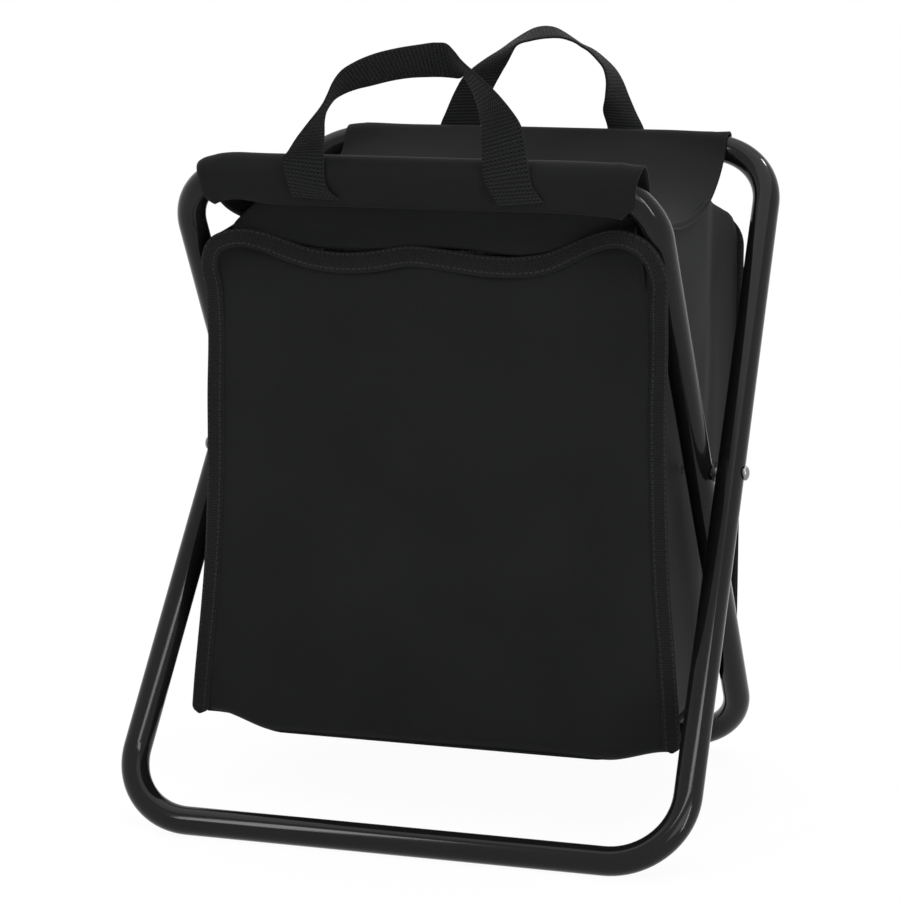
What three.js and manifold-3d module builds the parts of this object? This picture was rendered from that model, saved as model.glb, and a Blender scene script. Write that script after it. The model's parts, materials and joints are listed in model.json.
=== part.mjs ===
// Folding cooler stool: two crossed tube loops, a cloth seat slung between their upper rails and an
// insulated bag under the seat. Millimetres, +Z up, the front faces -Y, and the origin is on the
// floor under the middle of the stool.
import * as THREE from "three";
import { mergeVertices } from "three/addons/utils/BufferGeometryUtils.js";
import Module from "manifold-3d";

const wasm = await Module();
wasm.setup();

const radians = THREE.MathUtils.degToRad;

// Clearance between pieces that touch
const gap = 0.3;

// Bent tubes
const tubeDiameter = 16;
const tubeWall = 1.2;
const tubeSides = 16;
const bendRadius = 40;
const bendSteps = 6;
const tubeEndGap = 0.6;

// Frames
const railHeight = 369;
const pivotHeight = 196;
const innerHalfWidth = 135.8;
const innerLean = radians(33.2);
const outerLean = radians(37.6);
const innerTaper = radians(0.73);
const outerTaper = radians(1.72);

// Pivot rivets and their spacers
const rivetDiameter = 6;
const rivetHeadDiameter = 12;
const rivetHeadHeight = 3.4;
const rivetTailDiameter = 10;
const rivetTailHeight = 1.6;
const spacerDiameter = 15;
const spacerThickness = 1.4;
const turnedSides = 20;

// Seat cloth
const clothThickness = 1.3;
const sleeveInset = 13.2;
const sleeveSides = 24;
const seatSag = 36;
const seatSteps = 20;

// Webbing handles
const webbingWidth = 25;
const webbingThickness = 2;
const handleSpread = 108;
const handleRise = 69;
const handleTail = 13;
const handleTilt = radians(42);
const handleFullness = 2.6;
const handleSteps = 22;

// Cooler bag
const bagSetback = 36.5;
const bagDepth = 208;
const bagBottom = 48;
const bagSideClearance = 3;
const bagCornerRadius = 18;
const frontFlange = 1.6;
const frontFlare = 19.4;
const rearFlange = 9;
const roofBreak = 69;
const roofRearDrop = 17;
const roofSteps = 12;
const bindingWidth = 10;
const bindingThickness = 3;
const foamThickness = 5;
const linerThickness = 0.8;

// Zip
const zipDrop = 45;
const zipTapeWidth = 2;
const coilHeight = 4;
const coilThickness = 2.4;
const sliderLength = 11;
const sliderHeight = 8;
const sliderThickness = 2;
const sliderInset = 24;
const bailSpan = 7.2;
const bailBar = 1.2;
const bailClear = 2.2;
const pullLength = 24;
const pullWidth = 8;
const pullThickness = 1;
const pullBar = 1.4;

// Sizes that follow from the tubes
const tubeRadius = tubeDiameter / 2;
const tubeReach = tubeRadius / Math.cos(Math.PI / tubeSides);
const riseAbovePivot = railHeight - pivotHeight;
const dropBelowPivot = pivotHeight - tubeRadius;
const outerHalfWidth = innerHalfWidth + 2 * tubeReach + spacerThickness + 2 * gap;

// A frame in its own plane, measured from the pivot; back is 1 where the top leans to the rear.
function frameSize(halfWidth, lean, taper, back) {
  const above = riseAbovePivot / Math.cos(lean);
  const below = dropBelowPivot / Math.cos(lean);
  const bendReach = bendRadius * Math.tan((Math.PI / 2 - taper) / 2);
  return {
    lean,
    back,
    above,
    below,
    bendReach,
    topHalfWidth: halfWidth - above * Math.tan(taper),
    bottomHalfWidth: halfWidth + below * Math.tan(taper),
    railOffset: back * riseAbovePivot * Math.tan(lean),
  };
}
const inner = frameSize(innerHalfWidth, innerLean, innerTaper, -1);
const outer = frameSize(outerHalfWidth, outerLean, outerTaper, 1);

// The sleeves, and the place of the pivot that puts the origin under the middle of the depth
const seatHalfWidth = inner.topHalfWidth - sleeveInset;
const sleeveBore = (tubeReach + gap) / Math.cos(Math.PI / sleeveSides);
const sleeveReach = sleeveBore + clothThickness;
const frontReach = dropBelowPivot * Math.tan(outerLean) + tubeRadius;
const rearReach = outer.railOffset + sleeveReach + gap + webbingThickness;
const pivotY = (frontReach - rearReach) / 2;
const frontRailY = pivotY + inner.railOffset;
const rearRailY = pivotY + outer.railOffset;

// How far the underside of a rail has bent down where its sleeve ends, along the frame
function bendDrop(frame) {
  const past = Math.max(0, seatHalfWidth - (frame.topHalfWidth - frame.bendReach));
  const undersideRadius = bendRadius - tubeReach;
  return undersideRadius - Math.sqrt(Math.max(0, undersideRadius ** 2 - past ** 2));
}

// Seat cloth: it leaves each sleeve square to the frame and sags as a parabola.
const seatLift = sleeveReach + gap + clothThickness / 2;
const seatFrontY = frontRailY + seatLift * Math.cos(innerLean);
const seatFrontZ = railHeight + seatLift * Math.sin(innerLean);
const seatRearY = rearRailY - seatLift * Math.cos(outerLean);
const seatRearZ = railHeight + seatLift * Math.sin(outerLean);

function seatPoint(share) {
  const y = THREE.MathUtils.lerp(seatFrontY, seatRearY, share);
  const chord = THREE.MathUtils.lerp(seatFrontZ, seatRearZ, share);
  return new THREE.Vector3(0, y, chord - 4 * seatSag * share * (1 - share));
}

function seatUnderside(y) {
  return seatPoint((y - seatFrontY) / (seatRearY - seatFrontY)).z - clothThickness / 2;
}

// Bag: its front hangs from the seat, set back behind the front sleeve.
const frontInnerY = frontRailY + bagSetback;
const rearInnerY = frontInnerY + bagDepth;
const boxFront = frontInnerY + gap;
const boxRear = rearInnerY - gap;
const boxHalfWidth = inner.topHalfWidth - tubeReach - bagSideClearance;
const roofBreakY = pivotY + roofBreak;
const foamOffset = clothThickness + gap;
const linerOffset = foamOffset + foamThickness + gap;

// Height of the bag's roof: close under the seat, then falling to the rear edge
function roofAt(y) {
  const share = Math.max(0, (y - roofBreakY) / (rearInnerY - roofBreakY));
  return seatUnderside(Math.min(y, roofBreakY)) - gap - roofRearDrop * share;
}

// Points along the roof in Y and Z, from front to rear, lowered by a drop
function roofLine(front, rear, drop) {
  const points = [];
  for (let number = 0; number <= roofSteps; number += 1) {
    const y = THREE.MathUtils.lerp(front, roofBreakY, number / roofSteps);
    points.push(new THREE.Vector2(y, roofAt(y) - drop));
  }
  points.push(new THREE.Vector2(rear, roofAt(rear) - drop));
  return points;
}

// Zip levels, from the coil outwards
const zipHeight = railHeight - zipDrop;
const lowerTapeTop = zipHeight - coilHeight / 2 - gap;
const upperTapeBottom = zipHeight + coilHeight / 2 + gap;
const bindingTop = lowerTapeTop - zipTapeWidth - gap;
const mouthHeight = bindingTop - bindingWidth - gap;
const upperPanelBottom = upperTapeBottom + zipTapeWidth + gap;

const frontOutline = {
  topHalf: boxHalfWidth + frontFlange,
  bottomHalf: boxHalfWidth + frontFlange + frontFlare,
  bottom: bagBottom,
  top: bindingTop,
};
const rearOutline = {
  topHalf: boxHalfWidth + rearFlange,
  bottomHalf: boxHalfWidth + rearFlange,
  bottom: bagBottom,
  top: roofAt(rearInnerY),
};
const zipHalfLength = frontOutline.topHalf - bindingWidth - gap;

// Finishes
function finish(color, roughness, metalness = 0) {
  return new THREE.MeshStandardMaterial({ color, roughness, metalness });
}
const blackPaint = 0x0b0b0c;
const rivetSteel = 0x2a2a2c;
const spacerNylon = 0x151515;
const blackCloth = 0x1a1b1b;
const blackWebbing = 0x161717;
const bindingTape = 0x141515;
const zipBlack = 0x101010;
const foamWhite = 0xe6e6e0;
const linerSilver = 0xc4c7ca;

const stool = new THREE.Group();

function addPiece(name, geometry, material, parent = stool) {
  const piece = new THREE.Mesh(geometry, material);
  piece.name = name;
  parent.add(piece);
  return piece;
}

// Closed geometry to a solid and back, for cuts and joins
function solidFrom(geometry) {
  const bare = geometry.clone();
  bare.deleteAttribute("normal");
  bare.deleteAttribute("uv");
  const merged = mergeVertices(bare);
  return new wasm.Manifold(
    new wasm.Mesh({
      numProp: 3,
      vertProperties: merged.attributes.position.array,
      triVerts: new Uint32Array(merged.index.array),
    }),
  );
}

function geometryFrom(solid) {
  const { vertProperties, triVerts } = solid.getMesh();
  const geometry = new THREE.BufferGeometry();
  geometry.setAttribute("position", new THREE.BufferAttribute(vertProperties, 3));
  geometry.setIndex(new THREE.BufferAttribute(triVerts, 1));
  geometry.computeVertexNormals();
  return geometry;
}

// An outline in Y and Z, extruded along X from one side to the other
function extrudeAlongX(shape, fromX, toX) {
  const geometry = new THREE.ExtrudeGeometry(shape, { depth: toX - fromX, bevelEnabled: false });
  const turn = new THREE.Matrix4().makeBasis(
    new THREE.Vector3(0, 1, 0),
    new THREE.Vector3(0, 0, 1),
    new THREE.Vector3(1, 0, 0),
  );
  return geometry.applyMatrix4(turn).translate(fromX, 0, 0);
}

// An outline in X and Z, extruded along Y from front to rear
function extrudeAlongY(shape, fromY, toY) {
  const geometry = new THREE.ExtrudeGeometry(shape, { depth: toY - fromY, bevelEnabled: false });
  return geometry.rotateX(Math.PI / 2).translate(0, toY, 0);
}

function box(fromX, toX, fromY, toY, fromZ, toZ) {
  const geometry = new THREE.BoxGeometry(toX - fromX, toY - fromY, toZ - fromZ);
  return geometry.translate((fromX + toX) / 2, (fromY + toY) / 2, (fromZ + toZ) / 2);
}

// A closed strip: a rectangle at each station, wide along across and thick along normal
function ribbon(stations, width, thickness) {
  const corners = [[-1, -1], [1, -1], [1, 1], [-1, 1]];
  const positions = [];
  for (const { centre, across, normal } of stations) {
    for (const [side, face] of corners) {
      const point = centre.clone();
      point.addScaledVector(across, (side * width) / 2);
      point.addScaledVector(normal, (face * thickness) / 2);
      positions.push(...point);
    }
  }
  const index = [];
  const last = corners.length * (stations.length - 1);
  for (let ring = 0; ring < last; ring += corners.length) {
    for (let side = 0; side < corners.length; side += 1) {
      const here = ring + side;
      const beside = ring + ((side + 1) % corners.length);
      index.push(here, beside, beside + corners.length);
      index.push(here, beside + corners.length, here + corners.length);
    }
  }
  index.push(0, 2, 1, 0, 3, 2);
  index.push(last, last + 1, last + 2, last, last + 2, last + 3);
  const geometry = new THREE.BufferGeometry();
  geometry.setAttribute("position", new THREE.Float32BufferAttribute(positions, 3));
  geometry.setIndex(index);
  geometry.computeVertexNormals();
  return geometry;
}

// A path in the X-Z plane made of flat curves, each with its own number of steps
class SteppedPath extends THREE.Curve {
  constructor(pieces) {
    super();
    this.pieces = pieces;
    this.steps = pieces.reduce((sum, piece) => sum + piece.steps, 0);
  }

  locate(share) {
    let step = share * this.steps;
    let number = 0;
    while (number < this.pieces.length - 1 && step > this.pieces[number].steps) {
      step -= this.pieces[number].steps;
      number += 1;
    }
    return [this.pieces[number].curve, step / this.pieces[number].steps];
  }

  getPoint(share, target = new THREE.Vector3()) {
    const [curve, local] = this.locate(share);
    const point = curve.getPoint(local);
    return target.set(point.x, 0, point.y);
  }

  getTangent(share, target = new THREE.Vector3()) {
    const [curve, local] = this.locate(share);
    const direction = curve.getTangent(local);
    return target.set(direction.x, 0, direction.y);
  }

  getUtoTmapping(share) {
    return share;
  }
}

// Straight runs through the points, joined by arcs at every point between the two ends
function bentPath(points, radius) {
  const pieces = [];
  let start = points[0];
  for (let number = 1; number < points.length - 1; number += 1) {
    const corner = points[number];
    const arriving = corner.clone().sub(points[number - 1]).normalize();
    const leaving = points[number + 1].clone().sub(corner).normalize();
    const turn = arriving.cross(leaving);
    const reach = radius * Math.tan(Math.acos(arriving.dot(leaving)) / 2);
    const bendStart = corner.clone().addScaledVector(arriving, -reach);
    const bendEnd = corner.clone().addScaledVector(leaving, reach);
    const inwards = new THREE.Vector2(-arriving.y, arriving.x).multiplyScalar(Math.sign(turn));
    const centre = bendStart.clone().addScaledVector(inwards, radius);
    const from = bendStart.clone().sub(centre).angle();
    const to = bendEnd.clone().sub(centre).angle();
    pieces.push({ curve: new THREE.LineCurve(start, bendStart), steps: 1 });
    const arc = new THREE.EllipseCurve(centre.x, centre.y, radius, radius, from, to, turn < 0);
    pieces.push({ curve: arc, steps: bendSteps });
    start = bendEnd;
  }
  pieces.push({ curve: new THREE.LineCurve(start, points.at(-1)), steps: 1 });
  return new SteppedPath(pieces);
}

// A polygon round the origin whose flat sides lie at the given distance, one of them facing an angle
function flatSided(sides, flatDistance, facing) {
  const reach = flatDistance / Math.cos(Math.PI / sides);
  const points = [];
  for (let number = 0; number < sides; number += 1) {
    const angle = facing + ((number + 0.5) / sides) * 2 * Math.PI;
    points.push(new THREE.Vector2(reach * Math.cos(angle), reach * Math.sin(angle)));
  }
  return points;
}

// Tube loop: its ends meet in the middle of the top rail, and a flat side of the tube faces the
// floor along the bottom rail. The rivet holes go through both legs on the pivot axis.
function frameLoop(frame) {
  const half = tubeEndGap / 2;
  const path = bentPath(
    [
      new THREE.Vector2(half, frame.above),
      new THREE.Vector2(frame.topHalfWidth, frame.above),
      new THREE.Vector2(frame.bottomHalfWidth, -frame.below),
      new THREE.Vector2(-frame.bottomHalfWidth, -frame.below),
      new THREE.Vector2(-frame.topHalfWidth, frame.above),
      new THREE.Vector2(-half, frame.above),
    ],
    bendRadius,
  );
  const floorFacing = Math.PI - frame.back * frame.lean;
  const section = new THREE.Shape(flatSided(tubeSides, tubeRadius, floorFacing));
  section.holes.push(new THREE.Path(flatSided(tubeSides, tubeRadius - tubeWall, floorFacing)));
  const tube = new THREE.ExtrudeGeometry(section, { steps: path.steps, extrudePath: path });
  const drill = new THREE.CylinderGeometry(
    rivetDiameter / 2 + gap,
    rivetDiameter / 2 + gap,
    2 * (frame.bottomHalfWidth + tubeDiameter),
    turnedSides,
  );
  return geometryFrom(solidFrom(tube).subtract(solidFrom(drill.rotateZ(Math.PI / 2))));
}

// Cloth tunnel round a top rail: a long round outline in Y and Z, deep enough for the bent rail
function sleeve(frame) {
  const drop = bendDrop(frame);
  const outline = (radius) => {
    const points = [];
    for (let number = 0; number <= sleeveSides; number += 1) {
      const angle = (number / sleeveSides) * 2 * Math.PI;
      const shift = number === 0 || number >= sleeveSides / 2 ? drop : 0;
      const point = new THREE.Vector2(radius * Math.cos(angle), radius * Math.sin(angle) - shift);
      points.push(point);
      if (number === 0 || number === sleeveSides / 2) {
        points.splice(number === 0 ? 1 : -1, 0, new THREE.Vector2(point.x, point.y + drop));
      }
    }
    points.pop();
    return points;
  };
  const shape = new THREE.Shape(outline(sleeveReach));
  shape.holes.push(new THREE.Path(outline(sleeveBore)));
  return extrudeAlongX(shape, -seatHalfWidth, seatHalfWidth);
}

function seatCloth() {
  const across = new THREE.Vector3(-1, 0, 0);
  const normal = new THREE.Vector3(0, 0, 1);
  const stations = [];
  for (let number = 0; number <= seatSteps; number += 1) {
    stations.push({ centre: seatPoint(number / seatSteps), across, normal });
  }
  return ribbon(stations, 2 * seatHalfWidth, clothThickness);
}

// Webbing handle on the outer face of a sleeve: two feet that follow the sleeve, and a full arch
// whose face tips up towards its top.
function handle(frame, railY) {
  const hug = sleeveReach + gap + webbingThickness / 2;
  const half = handleSpread / 2;
  const rise = handleRise - (webbingWidth / 2) * Math.cos(handleTilt);
  const route = [];
  const addPoint = (x, outward, z, tilt) => {
    const centre = new THREE.Vector3(x, railY + frame.back * outward, railHeight + z);
    const facing = new THREE.Vector3(0, frame.back * Math.cos(tilt), Math.sin(tilt));
    route.push({ centre, facing });
  };
  const addFootEnd = (x) => {
    const outward = hug * Math.cos(frame.lean) - handleTail * Math.sin(frame.lean);
    const z = -hug * Math.sin(frame.lean) - handleTail * Math.cos(frame.lean);
    addPoint(x, outward, z, -frame.lean);
  };
  const addFootRound = (x, shares) => {
    for (const share of shares) {
      const angle = -frame.lean * share;
      addPoint(x, hug * Math.cos(angle), hug * Math.sin(angle), angle);
    }
  };
  const roundShares = [1, 0.75, 0.5, 0.25];
  addFootEnd(half);
  addFootRound(half, roundShares);
  for (let number = 0; number <= handleSteps; number += 1) {
    const angle = (number / handleSteps) * Math.PI;
    const x = half * Math.sign(Math.cos(angle)) * Math.abs(Math.cos(angle)) ** (2 / handleFullness);
    const tilt = handleTilt * Math.sin(angle);
    const inward = (webbingWidth / 2) * Math.sin(tilt);
    addPoint(x, hug - inward, rise * Math.sin(angle) ** (2 / handleFullness), tilt);
  }
  addFootRound(-half, roundShares.toReversed());
  addFootEnd(-half);
  const stations = route.map(({ centre, facing }, number) => {
    const before = route[Math.max(0, number - 1)].centre;
    const after = route[Math.min(route.length - 1, number + 1)].centre;
    const along = after.clone().sub(before).normalize();
    const normal = facing.clone().addScaledVector(along, -facing.dot(along)).normalize();
    return { centre, normal, across: normal.clone().cross(along) };
  });
  return ribbon(stations, webbingWidth, webbingThickness);
}

// Rivet along X: a domed head outside, a flat tail inside the inner tube
function rivet() {
  const headSeat = outerHalfWidth + tubeReach + gap;
  const tailSeat = innerHalfWidth - tubeReach - gap;
  const shaft = rivetDiameter / 2;
  const profile = [
    new THREE.Vector2(0, tailSeat - rivetTailHeight),
    new THREE.Vector2(rivetTailDiameter / 2, tailSeat - rivetTailHeight),
    new THREE.Vector2(rivetTailDiameter / 2, tailSeat),
    new THREE.Vector2(shaft, tailSeat),
    new THREE.Vector2(shaft, headSeat),
  ];
  const domeSteps = 5;
  for (let number = 0; number < domeSteps; number += 1) {
    const angle = ((number / domeSteps) * Math.PI) / 2;
    const radius = (rivetHeadDiameter / 2) * Math.cos(angle);
    profile.push(new THREE.Vector2(radius, headSeat + rivetHeadHeight * Math.sin(angle)));
  }
  profile.push(new THREE.Vector2(0, headSeat + rivetHeadHeight));
  return new THREE.LatheGeometry(profile, turnedSides).rotateZ(-Math.PI / 2);
}

function spacer() {
  const from = innerHalfWidth + tubeReach + gap;
  const bore = rivetDiameter / 2 + gap;
  const profile = [
    new THREE.Vector2(bore, from),
    new THREE.Vector2(spacerDiameter / 2, from),
    new THREE.Vector2(spacerDiameter / 2, from + spacerThickness),
    new THREE.Vector2(bore, from + spacerThickness),
    new THREE.Vector2(bore, from),
  ];
  return new THREE.LatheGeometry(profile, turnedSides).rotateZ(-Math.PI / 2);
}

// One run up a side, round both upper corners and down again, set in from a bag outline
function edgeRun(size, inset) {
  const halfAt = (z) => {
    const share = (z - size.bottom) / (size.top - size.bottom);
    return THREE.MathUtils.lerp(size.bottomHalf, size.topHalf, share) - inset;
  };
  const radius = Math.max(gap, bagCornerRadius - inset);
  const ceiling = size.top - inset;
  const half = halfAt(ceiling - radius);
  const points = [new THREE.Vector2(-halfAt(size.bottom), size.bottom)];
  for (const side of [-1, 1]) {
    for (let number = 0; number <= bendSteps; number += 1) {
      const share = side < 0 ? number / bendSteps : 1 - number / bendSteps;
      const angle = (share * Math.PI) / 2;
      const x = side * (half - radius + radius * Math.cos(angle));
      points.push(new THREE.Vector2(x, ceiling - radius + radius * Math.sin(angle)));
    }
  }
  points.push(new THREE.Vector2(halfAt(size.bottom), size.bottom));
  return points;
}

function boundPanel(size) {
  return new THREE.Shape(edgeRun(size, bindingWidth + gap));
}

function binding(size) {
  const outside = edgeRun(size, 0);
  const inside = edgeRun(size, bindingWidth).reverse();
  return new THREE.Shape([...outside, ...inside]);
}

// Outline in Y and Z of an upright side sheet, below the roof by a drop
function sideOutline(front, rear, bottom, roofDrop) {
  const floor = [new THREE.Vector2(front, bottom), new THREE.Vector2(rear, bottom)];
  return new THREE.Shape([...floor, ...roofLine(front, rear, roofDrop).reverse()]);
}

// A sheet that follows the roof, its upper face below the roof by a drop
function roofSheet(halfWidth, front, rear, roofDrop, thickness) {
  const upper = roofLine(front, rear, roofDrop).reverse();
  const lower = roofLine(front, rear, roofDrop + thickness);
  return extrudeAlongX(new THREE.Shape([...lower, ...upper]), -halfWidth, halfWidth);
}

// Frames stand in groups that turn about the pivot axis.
function addFrame(name, frame) {
  const group = new THREE.Group();
  group.position.set(0, pivotY, pivotHeight);
  group.rotation.x = -frame.back * frame.lean;
  stool.add(group);
  addPiece(name, frameLoop(frame), finish(blackPaint, 0.25, 0.3), group);
  return group;
}
const innerGroup = addFrame("inner_frame", inner);
const outerGroup = addFrame("outer_frame", outer);

addPiece("front_sleeve", sleeve(inner), finish(blackCloth, 0.8), innerGroup).position.z = inner.above;
addPiece("rear_sleeve", sleeve(outer), finish(blackCloth, 0.8), outerGroup).position.z = outer.above;
addPiece("seat_sling", seatCloth(), finish(blackCloth, 0.8));
addPiece("front_handle", handle(inner, frontRailY), finish(blackWebbing, 0.85));
addPiece("rear_handle", handle(outer, rearRailY), finish(blackWebbing, 0.85));

for (const [side, turn] of [["right", 0], ["left", Math.PI]]) {
  const rivetPiece = addPiece(`rivet_${side}`, rivet(), finish(rivetSteel, 0.3, 0.8));
  const spacerPiece = addPiece(`spacer_${side}`, spacer(), finish(spacerNylon, 0.6));
  for (const piece of [rivetPiece, spacerPiece]) {
    piece.position.set(0, pivotY, pivotHeight);
    piece.rotation.z = turn;
  }
}

// Front of the bag: bound panel, zip and the strip above it
const panelFrontY = frontInnerY - clothThickness;
addPiece(
  "front_panel",
  extrudeAlongY(boundPanel(frontOutline), panelFrontY, frontInnerY),
  finish(blackCloth, 0.75),
);
addPiece(
  "front_binding",
  extrudeAlongY(binding(frontOutline), frontInnerY - bindingThickness, frontInnerY),
  finish(bindingTape, 0.9),
);
addPiece(
  "upper_front_panel",
  box(-zipHalfLength, zipHalfLength, panelFrontY, frontInnerY, upperPanelBottom, roofAt(frontInnerY)),
  finish(blackCloth, 0.8),
);
for (const [name, bottom] of [["upper", upperTapeBottom], ["lower", lowerTapeTop - zipTapeWidth]]) {
  addPiece(
    `zip_${name}_tape`,
    box(-zipHalfLength, zipHalfLength, panelFrontY, frontInnerY, bottom, bottom + zipTapeWidth),
    finish(bindingTape, 0.9),
  );
}
const coilFrontY = frontInnerY - coilThickness;
addPiece(
  "zip_coil",
  box(
    -zipHalfLength,
    zipHalfLength,
    coilFrontY,
    frontInnerY,
    zipHeight - coilHeight / 2,
    zipHeight + coilHeight / 2,
  ),
  finish(zipBlack, 0.5),
);

// Zip slider: a plate on the coil with a bail, and a pull whose end bar sits inside the bail
const sliderX = -zipHalfLength + sliderInset + sliderLength / 2;
const sliderRearY = coilFrontY - gap;
const sliderFrontY = sliderRearY - sliderThickness;
const bailFrontY = sliderFrontY - bailClear - bailBar;
const bailHalf = bailBar / 2;

function zipSlider() {
  const plate = box(
    -sliderLength / 2,
    sliderLength / 2,
    sliderFrontY,
    sliderRearY,
    -sliderHeight / 2,
    sliderHeight / 2,
  );
  const outerBail = box(-bailSpan / 2, bailSpan / 2, bailFrontY, sliderFrontY + bailHalf, -bailBar, bailBar);
  const window = box(
    -bailSpan / 2 + bailBar,
    bailSpan / 2 - bailBar,
    sliderFrontY - bailClear,
    sliderFrontY,
    -2 * bailBar,
    2 * bailBar,
  );
  return geometryFrom(solidFrom(plate).add(solidFrom(outerBail).subtract(solidFrom(window))));
}

function zipPull() {
  const middle = -pullThickness / 2;
  const tab = box(
    -pullBar / 2,
    pullLength,
    middle,
    middle + pullThickness,
    -pullWidth / 2,
    pullWidth / 2,
  );
  const eye = box(
    pullBar / 2,
    bailSpan,
    -pullThickness,
    pullThickness,
    -bailBar - 2 * gap,
    bailBar + 2 * gap,
  );
  return geometryFrom(solidFrom(tab).subtract(solidFrom(eye)));
}
addPiece("zip_slider", zipSlider(), finish(zipBlack, 0.4, 0.5)).position.set(sliderX, 0, zipHeight);
addPiece("zip_pull", zipPull(), finish(zipBlack, 0.4, 0.5)).position.set(
  sliderX,
  sliderFrontY - bailClear / 2,
  zipHeight,
);

// Back, sides, bottom and roof of the bag
addPiece(
  "back_panel",
  extrudeAlongY(boundPanel(rearOutline), rearInnerY, rearInnerY + clothThickness),
  finish(blackCloth, 0.75),
);
addPiece(
  "rear_binding",
  extrudeAlongY(binding(rearOutline), rearInnerY, rearInnerY + bindingThickness),
  finish(bindingTape, 0.9),
);
addPiece(
  "bottom_panel",
  box(-boxHalfWidth, boxHalfWidth, boxFront, boxRear, bagBottom, bagBottom + clothThickness),
  finish(blackCloth, 0.75),
);
addPiece("top_panel", roofSheet(boxHalfWidth, boxFront, boxRear, 0, clothThickness), finish(blackCloth, 0.75));

// Insulation and liner, layer by layer inside the cloth
const foamHalfWidth = boxHalfWidth - foamOffset;
const foamBottom = bagBottom + foamOffset;
const linerHalfWidth = boxHalfWidth - linerOffset;
const linerFront = boxFront + foamThickness + gap;
const linerRear = boxRear - foamThickness - gap;
const linerBottom = bagBottom + linerOffset;
const lidDrop = linerOffset + linerThickness + gap;

addPiece(
  "foam_bottom",
  box(-foamHalfWidth, foamHalfWidth, boxFront, boxRear, foamBottom, foamBottom + foamThickness),
  finish(foamWhite, 0.9),
);
addPiece(
  "foam_front",
  box(-foamHalfWidth, foamHalfWidth, boxFront, boxFront + foamThickness, linerBottom, mouthHeight),
  finish(foamWhite, 0.9),
);
addPiece(
  "foam_back",
  box(
    -foamHalfWidth,
    foamHalfWidth,
    boxRear - foamThickness,
    boxRear,
    linerBottom,
    roofAt(boxRear) - linerOffset,
  ),
  finish(foamWhite, 0.9),
);
addPiece(
  "foam_lid",
  roofSheet(foamHalfWidth, boxFront, boxRear, foamOffset, foamThickness),
  finish(foamWhite, 0.9),
);

const gussetShape = sideOutline(boxFront, boxRear, bagBottom + foamOffset, foamOffset);
const sideFoamShape = sideOutline(linerFront, linerRear, linerBottom, linerOffset);
for (const [name, side] of [["left", -1], ["right", 1]]) {
  const slab = (shape, insideX, outsideX) =>
    side > 0 ? extrudeAlongX(shape, insideX, outsideX) : extrudeAlongX(shape, -outsideX, -insideX);
  addPiece(
    `${name}_gusset`,
    slab(gussetShape, boxHalfWidth - clothThickness, boxHalfWidth),
    finish(blackCloth, 0.75),
  );
  addPiece(
    `foam_${name}`,
    slab(sideFoamShape, foamHalfWidth - foamThickness, foamHalfWidth),
    finish(foamWhite, 0.9),
  );
}

// Liner tub: one welded skin, open at the top and cut down in front to the mouth under the zip
function linerTub() {
  const skin = extrudeAlongX(
    sideOutline(linerFront, linerRear, linerBottom, lidDrop),
    -linerHalfWidth,
    linerHalfWidth,
  );
  const hollow = box(
    -linerHalfWidth + linerThickness,
    linerHalfWidth - linerThickness,
    linerFront + linerThickness,
    linerRear - linerThickness,
    linerBottom + linerThickness,
    railHeight,
  );
  const mouth = box(
    -linerHalfWidth + linerThickness,
    linerHalfWidth - linerThickness,
    linerFront - linerThickness,
    linerFront + 2 * linerThickness,
    mouthHeight,
    railHeight,
  );
  return geometryFrom(solidFrom(skin).subtract(solidFrom(hollow)).subtract(solidFrom(mouth)));
}
addPiece("liner_tub", linerTub(), finish(linerSilver, 0.35, 0.3));
addPiece(
  "liner_lid",
  roofSheet(linerHalfWidth, linerFront, linerRear, linerOffset, linerThickness),
  finish(linerSilver, 0.35, 0.3),
);

export default stool;
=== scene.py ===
"""Folding cooler stool: two crossed tube loops, a sling seat, webbing handles and an insulated bag.

Every piece is a surface written as a grid of points, in millimetres, over two parameters.
The places of rails, rivets and the pivot come from the loaded frame.
"""

import json
import math

import bmesh
import bpy
import numpy as np
from mathutils import Matrix, Vector


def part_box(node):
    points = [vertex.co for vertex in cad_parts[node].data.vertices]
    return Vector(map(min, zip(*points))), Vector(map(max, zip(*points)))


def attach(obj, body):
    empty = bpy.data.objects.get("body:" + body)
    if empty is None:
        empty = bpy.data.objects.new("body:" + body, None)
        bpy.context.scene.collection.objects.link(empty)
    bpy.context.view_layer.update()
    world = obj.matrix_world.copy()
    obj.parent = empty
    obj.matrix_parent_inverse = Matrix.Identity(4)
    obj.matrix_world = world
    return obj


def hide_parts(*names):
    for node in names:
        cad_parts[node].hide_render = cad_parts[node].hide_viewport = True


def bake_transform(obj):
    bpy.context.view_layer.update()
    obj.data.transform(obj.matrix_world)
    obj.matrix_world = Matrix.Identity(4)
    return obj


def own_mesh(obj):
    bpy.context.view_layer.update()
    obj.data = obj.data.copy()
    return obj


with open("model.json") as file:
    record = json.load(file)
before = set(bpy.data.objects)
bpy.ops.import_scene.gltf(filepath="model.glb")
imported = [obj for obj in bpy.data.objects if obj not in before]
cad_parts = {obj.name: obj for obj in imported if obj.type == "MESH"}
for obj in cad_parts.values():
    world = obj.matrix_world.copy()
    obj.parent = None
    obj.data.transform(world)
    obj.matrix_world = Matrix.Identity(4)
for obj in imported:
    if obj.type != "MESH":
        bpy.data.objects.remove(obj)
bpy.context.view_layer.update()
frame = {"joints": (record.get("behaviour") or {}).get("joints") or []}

bl_info = {
    "name": "Folding Cooler Stool",
    "version": (1, 0, 0),
    "blender": (4, 5, 0),
    "location": "3D View > Sidebar > Stool",
    "description": "Builds a folding cooler stool on its packed frame, with its stage",
    "category": "Add Mesh",
}

MM = 0.001
JOINTS = {joint["name"]: joint for joint in frame["joints"]}
PIVOT_Y, PIVOT_Z = (value / MM for value in JOINTS["fold"]["pos_m"][1:])


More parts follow.
